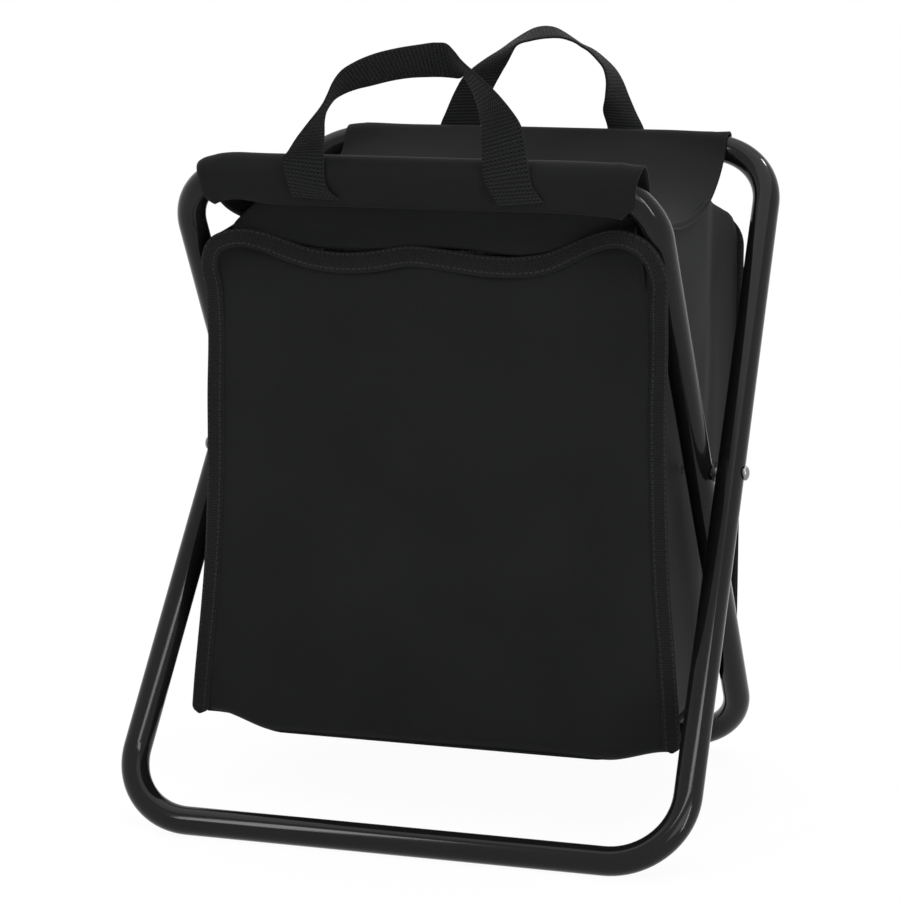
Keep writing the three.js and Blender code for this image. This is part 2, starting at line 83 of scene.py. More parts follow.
def edges_of(node):
    """The lowest and highest corner of a CAD node, in millimetres."""
    low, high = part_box(node)
    return np.array(low) / MM, np.array(high) / MM


OUTER_LOW, OUTER_HIGH = edges_of("outer_frame")
INNER_LOW, INNER_HIGH = edges_of("inner_frame")
RIVET_LOW, RIVET_HIGH = edges_of("rivet_right")
SPACER_LOW, SPACER_HIGH = edges_of("spacer_right")
SLIDER_LOW, SLIDER_HIGH = edges_of("zip_slider")
PULL_LOW, PULL_HIGH = edges_of("zip_pull")
COIL_MIDDLE = sum(edges_of("zip_coil")) / 2
PANEL_LOW, PANEL_HIGH = edges_of("front_panel")
BACK_LOW, BACK_HIGH = edges_of("back_panel")
SEAT_HIGH = edges_of("seat_sling")[1]
TUB_LOW, TUB_HIGH = edges_of("liner_tub")


def size_prop(name, description, default):
    """A size property, in metres."""
    return bpy.props.FloatProperty(name=name, description=description, default=default, unit="LENGTH")


def angle_prop(name, description, degrees):
    """An angle property, its default in degrees."""
    return bpy.props.FloatProperty(
        name=name, description=description, default=math.radians(degrees), subtype="ANGLE"
    )


def colour_prop(name, description, default):
    """A colour property."""
    return bpy.props.FloatVectorProperty(name=name, description=description, default=default, subtype="COLOR")


class StoolSizes(bpy.types.PropertyGroup):
    """Sizes that the pieces are built from."""

    tube: size_prop("Tube", "Diameter of the frame tube", 0.016)
    bend: size_prop("Bend", "Radius of the tube's bends, on its centreline", 0.040)
    outer_half: size_prop("Outer half width", "Middle of the outer loop's tube at the pivot", 0.15415)
    outer_taper: angle_prop("Outer taper", "Spread of the outer loop's legs", 1.72)
    inner_half: size_prop("Inner half width", "Middle of the inner loop's tube at the pivot", 0.1358)
    inner_taper: angle_prop("Inner taper", "Spread of the inner loop's legs", 0.73)
    cloth: size_prop("Cloth", "Thickness of the seat and bag cloth", 0.0011)
    seat_sag: size_prop("Seat sag", "Depth of the sling below its ends", 0.037)
    front_hang: size_prop("Front sleeve hang", "Slack of the front sleeve under its rail", 0.0085)
    rear_hang: size_prop("Rear sleeve hang", "Slack of the rear sleeve under its rail", 0.003)
    webbing: size_prop("Webbing", "Width of the handle webbing", 0.025)
    webbing_thick: size_prop("Webbing thickness", "Thickness of the handle webbing", 0.0018)
    binding: size_prop("Binding", "Width of the tape round the bag's edges", 0.010)
    binding_thick: size_prop("Binding thickness", "Thickness of a bound edge", 0.003)
    puff: size_prop("Puff", "How far the padded front panel swells", 0.0045)
    flat_keep: bpy.props.FloatProperty(
        name="Folded depth", description="Share of the bag's depth left when it is folded", default=0.22
    )


class StoolColours(bpy.types.PropertyGroup):
    """Colours that the materials are built from."""

    paint: colour_prop("Tube paint", "Gloss paint of the tubes", (0.006, 0.006, 0.0062))
    seat: colour_prop("Seat cloth", "Cloth of the seat and sleeves", (0.0083, 0.0087, 0.0085))
    bag: colour_prop("Bag cloth", "Cloth of the bag", (0.0094, 0.0097, 0.0099))
    webbing: colour_prop("Webbing", "Handle webbing", (0.0095, 0.0099, 0.0098))
    binding: colour_prop("Binding", "Tape round the bag's edges", (0.0105, 0.0107, 0.0108))
    zip: colour_prop("Zip", "Coil and slider of the zip", (0.0080, 0.0080, 0.0085))
    steel: colour_prop("Rivet steel", "Rivets at the pivot", (0.20, 0.20, 0.205))
    foam: colour_prop("Foam", "Insulation sheets", (0.78, 0.78, 0.75))
    liner: colour_prop("Liner", "Welded film inside the bag", (0.55, 0.57, 0.58))


def hermite(knots, values, at):
    """Smooth values between knots: a cubic over each step, with slopes from the neighbouring knots."""
    knots, values, at = (np.asarray(a, float) for a in (knots, values, at))
    slopes = np.gradient(values, knots, axis=0)
    i = np.clip(np.searchsorted(knots, at) - 1, 0, len(knots) - 2)
    step = knots[i + 1] - knots[i]
    t = np.clip((at - knots[i]) / step, 0, 1)
    if values.ndim > 1:
        t, step = t[..., None], step[..., None]
    return (
        values[i] * (1 + 2 * t) * (1 - t) ** 2
        + slopes[i] * step * t * (1 - t) ** 2
        + values[i + 1] * t**2 * (3 - 2 * t)
        - slopes[i + 1] * step * t**2 * (1 - t)
    )


def run_along(line):
    """How far along a line each of its points is."""
    return np.concatenate(([0], np.cumsum(np.linalg.norm(np.diff(line, axis=0), axis=1))))


def through(points, count):
    """A smooth line through points, with count points spread evenly over its chord length."""
    points = np.asarray(points, float)
    run = run_along(points)
    return hermite(run, points, np.linspace(0, run[-1], count))


def ease(x, start, end):
    """0 before start, 1 after end and a smooth step between them."""
    t = np.clip((x - start) / (end - start), 0, 1)
    return t * t * (3 - 2 * t)


def unit(vectors):
    """Vectors at length 1, along the last axis."""
    return vectors / np.linalg.norm(vectors, axis=-1, keepdims=True)


def grid_of(x, y, z):
    """Points from their three parts, each spread over the shape that all three share."""
    return np.stack(np.broadcast_arrays(x, y, z), -1)


def section(half_width, half_height, power, sides):
    """A closed round-cornered section: a superellipse with that power, as (across, up) points."""
    turn = np.linspace(0, 2 * np.pi, sides, endpoint=False)
    c, s = np.cos(turn), np.sin(turn)
    across = half_width * np.sign(c) * np.abs(c) ** (2 / power)
    return np.stack((across, half_height * np.sign(s) * np.abs(s) ** (2 / power)), -1)


def swept(line, across, up, profile):
    """A section carried along a line: each point adds the section's two parts along across and up."""
    return line[:, None] + profile[None, :, :1] * across[:, None] + profile[None, :, 1:] * up[:, None]


def lathed(profile, sides):
    """A profile of (x, radius) turned about the pivot's axis, which runs along x."""
    turn = np.linspace(0, 2 * np.pi, sides, endpoint=False)
    x, r = np.asarray(profile, float).T[..., None]
    return grid_of(x, PIVOT_Y + r * np.cos(turn), PIVOT_Z + r * np.sin(turn))


def slab(low, high, corner, rows=24, columns=48):
    """A pad with round edges: a ball of radius corner, its eight parts pushed out to the corners of a box."""
    low, high = np.asarray(low, float), np.asarray(high, float)
    up = np.linspace(-np.pi / 2, np.pi / 2, rows)[:, None]
    turn = np.linspace(0, 2 * np.pi, columns, endpoint=False)[None] + np.pi / columns
    ball = grid_of(np.cos(up) * np.cos(turn), np.cos(up) * np.sin(turn), np.sin(up))
    reach = (high - low) / 2 - corner
    return (low + high) / 2 + np.clip(ball * 40, -1, 1) * reach + ball * corner


def part(grid, wrap=False, caps=False):
    """A grid of points and how it closes: wrap joins its last column to its first, caps close both ends."""
    return grid, wrap, caps


def surface(name, parts, sharp):
    """One mesh from grids of points in millimetres; its UV map holds the run both ways, in metres."""
    points, faces, places, base = [], [], [], 0
    for grid, wrap, caps in parts:
        n, m = grid.shape[:2]
        wide = np.concatenate((grid, grid[:, :1]), axis=1) if wrap else grid
        along = np.linalg.norm(np.diff(wide, axis=0), axis=2).mean(axis=1)
        round_it = np.linalg.norm(np.diff(wide, axis=1), axis=2).mean(axis=0)
        u = np.concatenate(([0], np.cumsum(along)))
        v = np.concatenate(([0], np.cumsum(round_it)))
        uv = np.stack(np.meshgrid(u, v - v[-1] / 2, indexing="ij"), -1) * MM
        i, j = np.meshgrid(np.arange(n - 1), np.arange(wide.shape[1] - 1), indexing="ij")
        corners = ((i, j), (i + 1, j), (i + 1, j + 1), (i, j + 1))
        faces += (np.stack([a * m + b % m for a, b in corners], -1).reshape(-1, 4) + base).tolist()
        places.append(np.stack([uv[a, b] for a, b in corners], -2).reshape(-1, 2))
        if caps:
            faces += [list(range(base, base + m)), list(range(base + (n - 1) * m, base + n * m))]
            places += [uv[0, :m], uv[-1, :m]]
        points.append(grid.reshape(-1, 3))
        base += n * m
    mesh = bpy.data.meshes.new(name)
    mesh.from_pydata((np.concatenate(points) * MM).tolist(), [], faces)
    mesh.uv_layers.new(name="UVMap").data.foreach_set("uv", np.concatenate(places).ravel())
    shaped = bmesh.new()
    shaped.from_mesh(mesh)
    bmesh.ops.remove_doubles(shaped, verts=shaped.verts, dist=1e-6)
    bmesh.ops.recalc_face_normals(shaped, faces=shaped.faces)
    shaped.to_mesh(mesh)
    shaped.free()
    mesh.polygons.foreach_set("use_smooth", np.ones(len(mesh.polygons), bool))
    mesh.set_sharp_from_angle(angle=math.radians(sharp))
    piece = bpy.data.objects.new(name, mesh)
    bpy.context.scene.collection.objects.link(piece)
    return piece


def thicken(piece, thickness):
    """Gives a cloth surface its thickness, half to each side."""
    solid = piece.modifiers.new("Thickness", "SOLIDIFY")
    solid.thickness = thickness
    solid.offset = 0


def build(name, parts, material, nodes, body=None, sharp=40):
    """A piece with its material, the CAD nodes it stands for and the body it moves with."""
    piece = surface(name, parts, sharp)
    piece.data.materials.append(Finishes.get(material))
    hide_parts(*nodes)
    if body:
        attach(piece, body)
    return piece


class Loop:
    """One tube loop: its lean, its half widths and how far it reaches from the pivot, in millimetres."""

    def __init__(self, low, high, back, half, taper, sizes):
        radius = sizes.tube / MM / 2
        rail_y = (high[1] - radius) if back > 0 else (low[1] + radius)
        self.rail = np.array((rail_y, high[2] - radius))
        self.back = back
        self.bend = sizes.bend / MM
        self.lean = math.atan2(abs(rail_y - PIVOT_Y), self.rail[1] - PIVOT_Z)
        self.above = (self.rail[1] - PIVOT_Z) / math.cos(self.lean)
        self.below = (PIVOT_Z - radius) / math.cos(self.lean)
        self.top = half / MM - self.above * math.tan(taper)
        self.bottom = half / MM + self.below * math.tan(taper)
        self.turn = math.pi / 2 - taper
        self.bend_start = self.top - self.bend * math.tan(self.turn / 2)

    def up(self):
        """The direction up along the loop's plane, as (y, z)."""
        return np.array((self.back * math.sin(self.lean), math.cos(self.lean)))

    def place(self, flat):
        """Points (x, run up the loop) of the loop's plane, in the frame."""
        x, run = flat[..., 0], flat[..., 1]
        up = self.up()
        return grid_of(x, PIVOT_Y + run * up[0], PIVOT_Z + run * up[1])

    def fall(self, x):
        """How far the rail has come down in the loop's plane at x, and how much longer than wide its cut is."""
        past = np.clip(np.abs(x) - self.bend_start, 0, self.bend * 0.8)
        level = np.sqrt(self.bend**2 - past**2)
        return self.bend - level, self.bend / level


def loops(sizes):
    """The outer and the inner loop."""
    return (
        Loop(OUTER_LOW, OUTER_HIGH, 1, sizes.outer_half, sizes.outer_taper, sizes),
        Loop(INNER_LOW, INNER_HIGH, -1, sizes.inner_half, sizes.inner_taper, sizes),
    )


def rounded_line(corners, radius, steps, straight):
    """A line of straight stretches whose inner corners are arcs of one radius."""
    corners = np.asarray(corners, float)
    rows, last = [], corners[0]
    for before, corner, after in zip(corners[:-2], corners[1:-1], corners[2:]):
        a, b = unit(corner - before), unit(after - corner)
        turn = math.acos(float(np.clip(a @ b, -1, 1)))
        side = unit(b - a * (a @ b))
        start = corner - a * radius * math.tan(turn / 2)
        angle = np.linspace(0, turn, steps)[:, None]
        rows.append(last + np.linspace(0, 1, straight, endpoint=False)[:, None] * (start - last))
        rows.append(start + side * radius * (1 - np.cos(angle)) + a * radius * np.sin(angle))
        last = rows[-1][-1]
    rows.append(last + np.linspace(0, 1, straight)[1:, None] * (corners[-1] - last))
    return np.concatenate(rows)


def run_of(line):
    """Unit directions along a line."""
    return unit(np.gradient(line, axis=0))


def tube_grid(loop, radius):
    """A round section carried along the loop; its two ends meet inside the sleeve."""
    gap = 0.3
    corners = (
        (gap, loop.above),
        (loop.top, loop.above),
        (loop.bottom, -loop.below),
        (-loop.bottom, -loop.below),
        (-loop.top, loop.above),
        (-gap, loop.above),
    )
    flat = rounded_line(corners, loop.bend, 22, 14)
    run = run_of(flat)
    inward = loop.place(np.stack((run[:, 1], -run[:, 0]), -1)) - loop.place(np.zeros(2))
    up = loop.up()
    normal = np.broadcast_to(np.array((0, up[1], -up[0])), inward.shape)
    return swept(loop.place(flat), inward, normal, section(radius, radius, 2, 40))


def tunnel(loop, x, angle, radius, hang):
    """A sleeve's cut at x: an oval round the rail, with slack that hangs straight down under it.

    The angle is 0 at the side towards the seat, a quarter turn at the top of the loop's plane. The sleeve
    follows the rail's bends only in part, so that the tube leaves it through its open end.
    """
    fall, longer = loop.fall(x)
    follow = np.where(x < 0, 0.7, 0.2)
    fall, longer = fall * follow, np.minimum(longer, 1.25)
    up = loop.up()
    across = np.array((-loop.back * up[1], loop.back * up[0]))
    slack = hang * np.exp(-(((angle - math.radians(235)) / math.radians(42)) ** 2))
    round_it, climb = radius * np.cos(angle), radius * longer * np.sin(angle)
    y = loop.rail[0] - fall * up[0] + round_it * across[0] + climb * up[0]
    z = loop.rail[1] - fall * up[1] + round_it * across[1] + climb * up[1]
    return grid_of(x, y, z - slack)


def seat_grid(sizes):
    """One strip of cloth: round the front rail, down and up as a sling, and round the rear rail.

    Across, u runs from edge to edge; the strip is sewn a little askew, and its open ends are cut back under
    the rail. Along, the strip goes round the front rail from its seam, leaves it towards the seat, sags by a
    power of the span's parabola that is sharper at the sides, and goes round the rear rail.
    """
    outer, inner = loops(sizes)
    u = np.linspace(-1, 1, 113)[None, :]
    side = np.abs(u) ** 3
    radius = sizes.tube / MM / 2 + 1.2
    leave = np.radians(17 - 32 * side)
    wave = 0.5 * np.sin(u * 13.4 + 0.6 * np.sin(u * 5.3)) * ease(np.abs(u), 0.5, 1)
    seam = math.radians(287)

    def ring(loop, hang, share, half, askew):
        angle = seam + (leave - seam) * share[:, None]
        cut = ease(angle, math.radians(185), math.radians(232))
        x = askew * (1 - 0.45 * cut) + u * (half - 3 * ease(angle, math.pi / 2, math.pi) - 7 * cut)
        slack = hang / MM * (1 - 0.3 * ease(-u, 0.65, 0.95))
        return tunnel(loop, x, angle, radius + wave * np.sin(angle), slack)

    share = np.linspace(0, 1, 61)
    front = ring(inner, sizes.front_hang, share, SEAT_HIGH[0] + 5.3, 4.5)
    rear = ring(outer, sizes.rear_hang, share[::-1], SEAT_HIGH[0] + 0.5, 0.4)
    span = np.linspace(0, 1, 66)[1:-1, None, None]
    middle = front[-1] + (rear[0] - front[-1]) * span
    t = 2 * span[..., 0] - 1
    sag = sizes.seat_sag / MM * (1 - t**2) ** (1 - 0.4 * side)
    crease = 0.7 * np.sin(u * 7.1 + 2.2 * t) * (1 - t**2) * np.sin(np.pi * (t + 1) * 1.5)
    middle[..., 2] -= sag + crease
    strip = np.concatenate((front, middle, rear))
    hem = 0.2 * ease(np.abs(u), 0.922, 0.928)
    lift = np.cross(np.gradient(strip, axis=1), np.gradient(strip, axis=0))
    return strip - unit(lift) * hem[..., None]


# The line of sight of the handles' edge lines, and the heights between which a strap starts to twist.
SIGHT = (-0.331, 1.0, -0.068)
FOOT_TOP, TWIST_FULL = 373, 393
FRONT_HANDLE = (
    # Outer x and z, inner x and z, and the middle's distance behind the front of the webbing.
    (-63.7, 356.4, -36.9, 355.1, 4.1),
    (-65.7, 364.2, -42.5, 360.6, 1.2),
    (-67.3, 370.9, -44.0, 368.2, -0.1),
    (-68.4, 376.7, -44.3, 374.8, 0.2),
    (-65.4, 380.6, -44.8, 381.4, 0.9),
    (-58.9, 389.4, -45.1, 390.5, 1.9),
    (-52.2, 397.8, -45.4, 398.2, 3.1),
    (-47.9, 403.3, -44.9, 402.5, 4.5),
    (-45.3, 407.8, -42.8, 406.6, 5.9),
    (-43.7, 411.8, -41.0, 408.9, 6.9),
    (-41.4, 417.6, -36.1, 411.9, 7.9),
    (-37.1, 423.5, -29.2, 414.5, 8.5),
    (-29.3, 428.5, -20.6, 416.6, 9.0),
    (-18.9, 432.8, -10.2, 419.2, 9.5),
    (-6.6, 435.9, 0.3, 421.0, 9.5),
    (5.6, 438.0, 10.8, 421.7, 9.5),
    (16.0, 439.3, 20.3, 421.8, 9.5),
    (21.7, 438.6, 26.4, 421.4, 9.5),
    (25.7, 434.7, 29.0, 421.3, 9.3),
    (29.4, 430.5, 30.8, 421.9, 8.7),
    (32.8, 427.7, 32.1, 422.6, 7.7),
    (36.2, 425.4, 33.6, 420.9, 6.7),
    (43.2, 420.0, 37.2, 415.8, 5.3),
    (50.4, 414.1, 40.6, 407.7, 4.1),
    (59.4, 404.9, 42.8, 399.7, 2.7),
    (64.9, 397.8, 43.5, 390.8, 1.5),
    (67.7, 387.3, 44.1, 381.0, 0.7),
    (70.1, 374.3, 44.9, 369.6, 0.2),
    (71.8, 366.2, 47.9, 363.6, 0.4),
    (77.1, 357.0, 52.3, 354.6, 4.1),
)
REAR_HANDLE = (
    (-65.6, 356.0, -40.8, 356.0, 4.0),
    (-65.6, 366.0, -40.2, 366.0, 0.4),
    (-64.9, 375.7, -38.8, 376.3, 1.1),
    (-60.1, 387.5, -34.8, 388.8, 1.5),
    (-54.1, 399.7, -29.8, 400.9, 2.7),
    (-48.0, 408.8, -23.9, 410.9, 4.1),
    (-41.1, 414.4, -20.2, 417.0, 5.3),
    (-32.1, 420.2, -17.3, 422.4, 6.5),
    (-22.9, 425.5, -14.4, 427.2, 7.5),
    (-15.6, 430.5, -11.2, 429.2, 8.5),
    (-7.8, 435.4, -5.9, 430.5, 9.1),
    (-0.3, 439.0, 1.6, 432.0, 9.6),
    (5.2, 440.0, 7.0, 432.6, 9.6),
    (12.5, 439.1, 14.3, 432.7, 9.6),
    (18.2, 436.2, 19.7, 431.5, 9.4),
    (23.2, 432.9, 24.1, 429.8, 8.9),
    (27.9, 429.7, 26.8, 427.9, 8.1),
    (35.1, 426.4, 30.9, 425.2, 7.1),
    (42.4, 421.1, 36.1, 419.9, 5.9),
    (49.4, 414.1, 40.0, 414.3, 4.5),
    (53.1, 408.0, 41.3, 407.8, 3.3),
    (57.0, 398.4, 40.6, 397.3, 2.1),
    (61.4, 388.0, 39.3, 389.0, 1.1),
    (66.0, 377.5, 42.6, 377.9, 0.7),
    (66.6, 366.0, 42.0, 366.0, 0.4),
    (66.6, 356.0, 42.0, 356.0, 4.0),
)


def handle_grid(rows, loop, sizes):
    """A strap with its two edges on given lines, as they look from the right of the front.

    Where the lines are nearer to each other than the strap is wide, the rest of its width lies along the line
    of sight, so that the strap twists as it climbs; its feet lie flat on the sleeve. Its section is a flat
    superellipse.
    """
    rows = through(rows, 220)
    outer, inner = rows[:, :2], rows[:, 2:4]
    half = sizes.webbing / MM / 2
    thick = sizes.webbing_thick / MM / 2
    hug = sizes.tube / MM / 2 + 2.1 + thick
    middle, wide = (outer + inner) / 2, (outer - inner) / 2
    line = grid_of(middle[:, 0], loop.rail[0] + loop.back * (hug - rows[:, 4]), middle[:, 1])
    flat = grid_of(wide[:, 0], 0, wide[:, 1])
    sight = unit(np.array(SIGHT))
    along = flat @ sight
    spare = np.sqrt(np.clip(along**2 + half**2 - (wide**2).sum(axis=1), 0, None))
    turned = (loop.back * spare - along) * ease(middle[:, 1], FOOT_TOP, TWIST_FULL)
    across = flat + turned[:, None] * sight
    face = unit(np.cross(run_of(line), across))
    return swept(line, across / half, face, section(half, thick, 5, 28))


# Bag front, seen from the front: half width, shift and depth of its bound edges over height, the line of its
# bound mouth from right to left, and the lip of the strip above the zip. Then the bag's top line.
EDGE_HEIGHT = (40, 60, 82, 104, 138, 193, 248, 278, 302, 316, 324, 336)
EDGE_HALF = (145.6, 144.4, 142.4, 140.4, 137.2, 134.4, 133.4, 133.0, 133.0, 133.2, 132.4, 129.0)
EDGE_SHIFT = (1.2, 1.4, 1.5, 1.9, 1.9, 1.9, 2.2, 3.5, 4.5, 5.4, 5.6, 5.6)
DEPTH_HEIGHT = (40, 240, 268, 288, 302, 315, 325, 336)
DEPTH_EDGE = (-75.2, -75.2, -76.6, -80.0, -84.0, -89.6, -94.6, -98.5)
BOUND_LOW, BOUND_HIGH, MOUTH_LOW, MOUTH_HALF = 52, 318, 315.5, 126
MOUTH_X = (130.6, 125.0, 117.0, 108.0, 99.0, 90.0, 81.0, 71.0, 58.0, 36.6)
MOUTH_X += (14.0, -8.7, -32.0, -52.0, -70.0, -84.0, -93.0, -102.0, -111.0, -118.0)
MOUTH_Z = (327.0, 333.4, 336.6, 336.4, 333.8, 330.2, 325.8, 321.4, 318.8, 318.3)
MOUTH_Z += (320.6, 322.3, 318.3, 317.4, 320.0, 324.4, 328.2, 330.4, 329.2, 325.6)
UPPER_SHIFT, UPPER_HALF, UPPER_TOP = 7, 115, 357.0
UPPER_LIP_X = (-108, -98, -88, -62, -32, 15, 62, 82, 100, 122)
UPPER_LIP_Z = (337.0, 334.6, 331.8, 327.4, 327.6, 329.6, 327.8, 332.2, 337.2, 342.0)
ROOF_Y = (-73, -64, -52, -40, -12, 14, 40, 66, 76, 95, 112, 122, 129, 133, 136)
ROOF_Z = (331, 332.3, 334, 336, 337.2, 337, 337.6, 341.4, 343.4, 339, 334.2, 331, 326.5, 320.5, 314)
REAR_TOP = 330.0
# Half widths of the front's lower line, the back and the side walls, with the radii of their rolled edges.
# Then the zip: half its length, its tapes' width and height from the coil, and how far behind the front its
# slider folds.
LOW_HALF = 138
BACK_HALF, BACK_ROLL = 126, 8
SIDE_WALL, SIDE_ROLL = 122.2, 9
ZIP_HALF, ZIP_TAPE, TAPE_LEVEL, ZIP_BEHIND = 112, 11, 7.2, 3.2
# Drop under the top line, inset from the sides, front and rear of each sheet under the seat; the foam's top;
# thicknesses of the foam lid and the liner, in metres.
TOP_SHEET, FOAM_LID, LINER_LID = (1.6, 1.0, -70, BACK_LOW[1]), (6.4, 10, -56, 117), (8.6, 12, -60, 124)
FOAM_TOP, LID_THICK, LINER_THICK = 310, 0.003, 0.0008


def edge_half(z):
    """Half the width of the bag's front over its bound edges, at height z."""
    return hermite(EDGE_HEIGHT, EDGE_HALF, z)


def edge_shift(z):
    """How far the bag's front is askew to the right at height z."""
    return hermite(EDGE_HEIGHT, EDGE_SHIFT, z)


def edge_front(z):
    """Where the front's bound edge is in depth: it bends forward where it passes in front of the inner loop."""
    return hermite(DEPTH_HEIGHT, DEPTH_EDGE, z)


def front_middle(z):
    """Where the middle of the bag's front is in depth: it comes forward a little at the mouth."""
    return DEPTH_EDGE[0] - 6.6 * ease(z, 236, 320)


def bottom_line(x):
    """The lowest line of the bag's front: level in the middle, drawn up at the side seams."""
    return PANEL_LOW[2] - 5.0 + np.where(x < 0, 10.5 * ease(-x, 92, 132), 8.5 * ease(x, 98, 138))


def side_low(t):
    """The lowest line of the bag's sides, from front to rear: it sags between the two bound seams."""
    sag = 7.5 * np.sin(np.pi * np.clip(t, 0, 1)) ** 0.8
    return PANEL_LOW[2] + 1.5 + 4.0 * (1 - ease(t, 0, 0.12)) - sag + 5.0 * ease(t, 0.9, 1)


def zip_rise(x):
    """How far the zip climbs towards its two ends."""
    return 8 * ease(np.abs(x), 84, 116)


def binding_line(half_width):
    """The middle of the front's binding: up the right edge, along the mouth, and down the left edge."""
    z = np.linspace(BOUND_LOW, BOUND_HIGH, 14)
    reach = edge_half(z) - half_width
    right = np.stack((edge_shift(z) + reach, z), -1)
    left = np.stack((edge_shift(z) - reach, z), -1)[::-1]
    return through(np.concatenate((right, np.stack((MOUTH_X, MOUTH_Z), -1), left)), 520)


def mouth_height(x, half_width):
    """Height of the mouth's bound edge at x."""
    line = binding_line(half_width)
    level = line[line[:, 1] > MOUTH_LOW][::-1]
    return np.interp(x, np.maximum.accumulate(level[:, 0]), level[:, 1])


def rolled(face, radius, start, rows, back=1, lean=0.0):
    """A sheet whose lower edge goes on round a roll, over the turn from start to 0; lean tips it forward."""
    turn = np.linspace(start, 0, rows, endpoint=False)[:, None]
    x, y, z = face[0].T
    y = y + back * radius * (1 - np.cos(turn)) - lean * np.sin(turn)
    return np.concatenate((grid_of(x, y, z - radius * np.sin(turn)), face))


def front_panel_grid(sizes):
    """The front of the bag, from under its bottom edge up to the mouth.

    Across, u runs from edge to edge; along, the first rows go round the bottom roll and the rest climb to
    the mouth. The padding swells by a product of two rounded bumps, with shallow ripples under the mouth and
    at the lower corners.
    """
    half = sizes.binding / MM / 2
    u = np.linspace(-1, 1, 121)[None, :]
    v = np.linspace(0, 1, 110)[:, None]
    roll = 4 + 6 * (1 - u**4)
    low = bottom_line(u * LOW_HALF)
    top = mouth_height(EDGE_SHIFT[-1] + u * MOUTH_HALF, half)
    z = low + roll + (top - low - roll) * v
    x = edge_shift(z) + u * (edge_half(z) - half)
    swell = (1 - np.abs(u) ** 2.6) * (1 - np.abs(2 * v - 1) ** 3.2)
    ripple = 0.9 * np.sin(x / 11.5 + 1.0 + 0.8 * np.sin(x / 31)) * np.exp(-(((v - 1) / 0.10) ** 2))
    ripple = ripple + 0.8 * np.sin(x / 15 + z / 26) * ease(np.abs(u), 0.45, 0.9) * (1 - ease(v, 0.0, 0.45))
    ripple = ripple + 0.5 * np.sin(x / 38 + z / 51 + 1.3) * np.sin(z / 44 - x / 70)
    fade = 1 - np.abs(u) ** 6
    base = front_middle(z) + (edge_front(z) - front_middle(z)) * np.abs(u) ** 7
    y = base + 1.0 - sizes.puff / MM * swell - ripple * fade
    return rolled(grid_of(x, y, z), roll, np.pi / 2, 12)


def bottom_grid(sizes):
    """The bag's bottom: a sheet between the two bottom rolls, which sags by a product of two parabolas."""
    u = np.linspace(-1, 1, 81)[None, :]
    t = np.linspace(0, 1, 61)[:, None]
    front = front_panel_grid(sizes)[0, :, 1].min() - 1
    y = front + (BACK_LOW[1] - 7 - front) * t
    wide = 134 - 11 * ease(t, 0, 0.3) + 2 * ease(t, 0.85, 1)
    settled = ease(t, 0, 0.4)
    sagged = side_low(t) + 1.5 - 3.5 * (1 - u**2)
    return grid_of(u * wide, y, (bottom_line(u * LOW_HALF) + 0.6) * (1 - settled) + sagged * settled)


def side_x(side, y, z):
    """How far the bag's side stands out at (y, z): a flat wall that flares to the bound edges at both ends."""
    t = (y - PANEL_HIGH[1]) / (BACK_LOW[1] - PANEL_HIGH[1])
    held = 125 + 20 * (1 - ease(z, 262, 290))
    proud = 5.5 * (1 - ease(z, 70, 200))
    reach = np.minimum(edge_half(z) + side * edge_shift(z) - 6 + proud, held)
    front = (reach - SIDE_WALL) * np.clip(1 - t / 0.26, 0, 1) ** 2
    rear = 4.5 * np.clip((t - 0.84) / 0.16, 0, 1) ** 1.6
    fold = 1.4 * np.exp(-(((t - 0.74 - 0.0004 * (z - 200)) / 0.055) ** 2))
    swell = 1.8 * np.sin(np.pi * np.clip(t, 0, 1)) * np.sin(np.pi * np.clip((z - 48) / 300, 0, 1))
    ripple = 0.5 * np.sin(z / 21 + y / 33) * np.sin(np.pi * np.clip(t, 0, 1))
    return SIDE_WALL + front + rear - fold + swell + ripple


def roof_height(y):
    """Height of the bag's top along its sides: it follows the seat and falls to the rear corner."""
    return hermite(ROOF_Y, ROOF_Z, y)


def gusset_grid(side):
    """One side of the bag, its lower edge rolled inwards and its front edge led forward to the bound edge."""
    t = np.linspace(0, 1, 100)[:, None]
    v = np.linspace(0, 1, 90)[None, :]
    y = PANEL_HIGH[1] + 0.2 + (BACK_LOW[1] + 1.0 - PANEL_HIGH[1]) * t
    low = side_low(t)
    z = low + (roof_height(y) - low) * v
    over = np.clip(1 - (z - low) / SIDE_ROLL, 0, 1)
    x = side_x(side, y, z) - SIDE_ROLL * (1 - np.sqrt(1 - over**2))
    lean = 9 * ease(z, 326, 348) * (1 - ease(t, 0.02, 0.3))
    led = (edge_front(z) + 1.6 - PANEL_HIGH[1]) * (1 - t) ** 5
    return grid_of(side * (x - lean), y + led, z)


def roof_grid(drop, inset, front, rear):
    """A sheet under the seat: it follows the bag's top line at a given drop, and dips a little across."""
    u = np.linspace(-1, 1, 61)[None, :]
    y = np.linspace(front, rear, 81)[:, None]
    edge = roof_height(y)
    level = np.where(y > 112, np.maximum(edge, REAR_TOP + (112 - y) * 0.05), edge)
    z = level + (edge - level) * np.abs(u) ** 10 - drop - 1.5 * (1 - u**2)
    wide = side_x(0, y, edge) - inset - 9 * (1 - ease(y, -70, -10)) * ease(edge, 335, 345)
    return grid_of(u * wide, y, z)


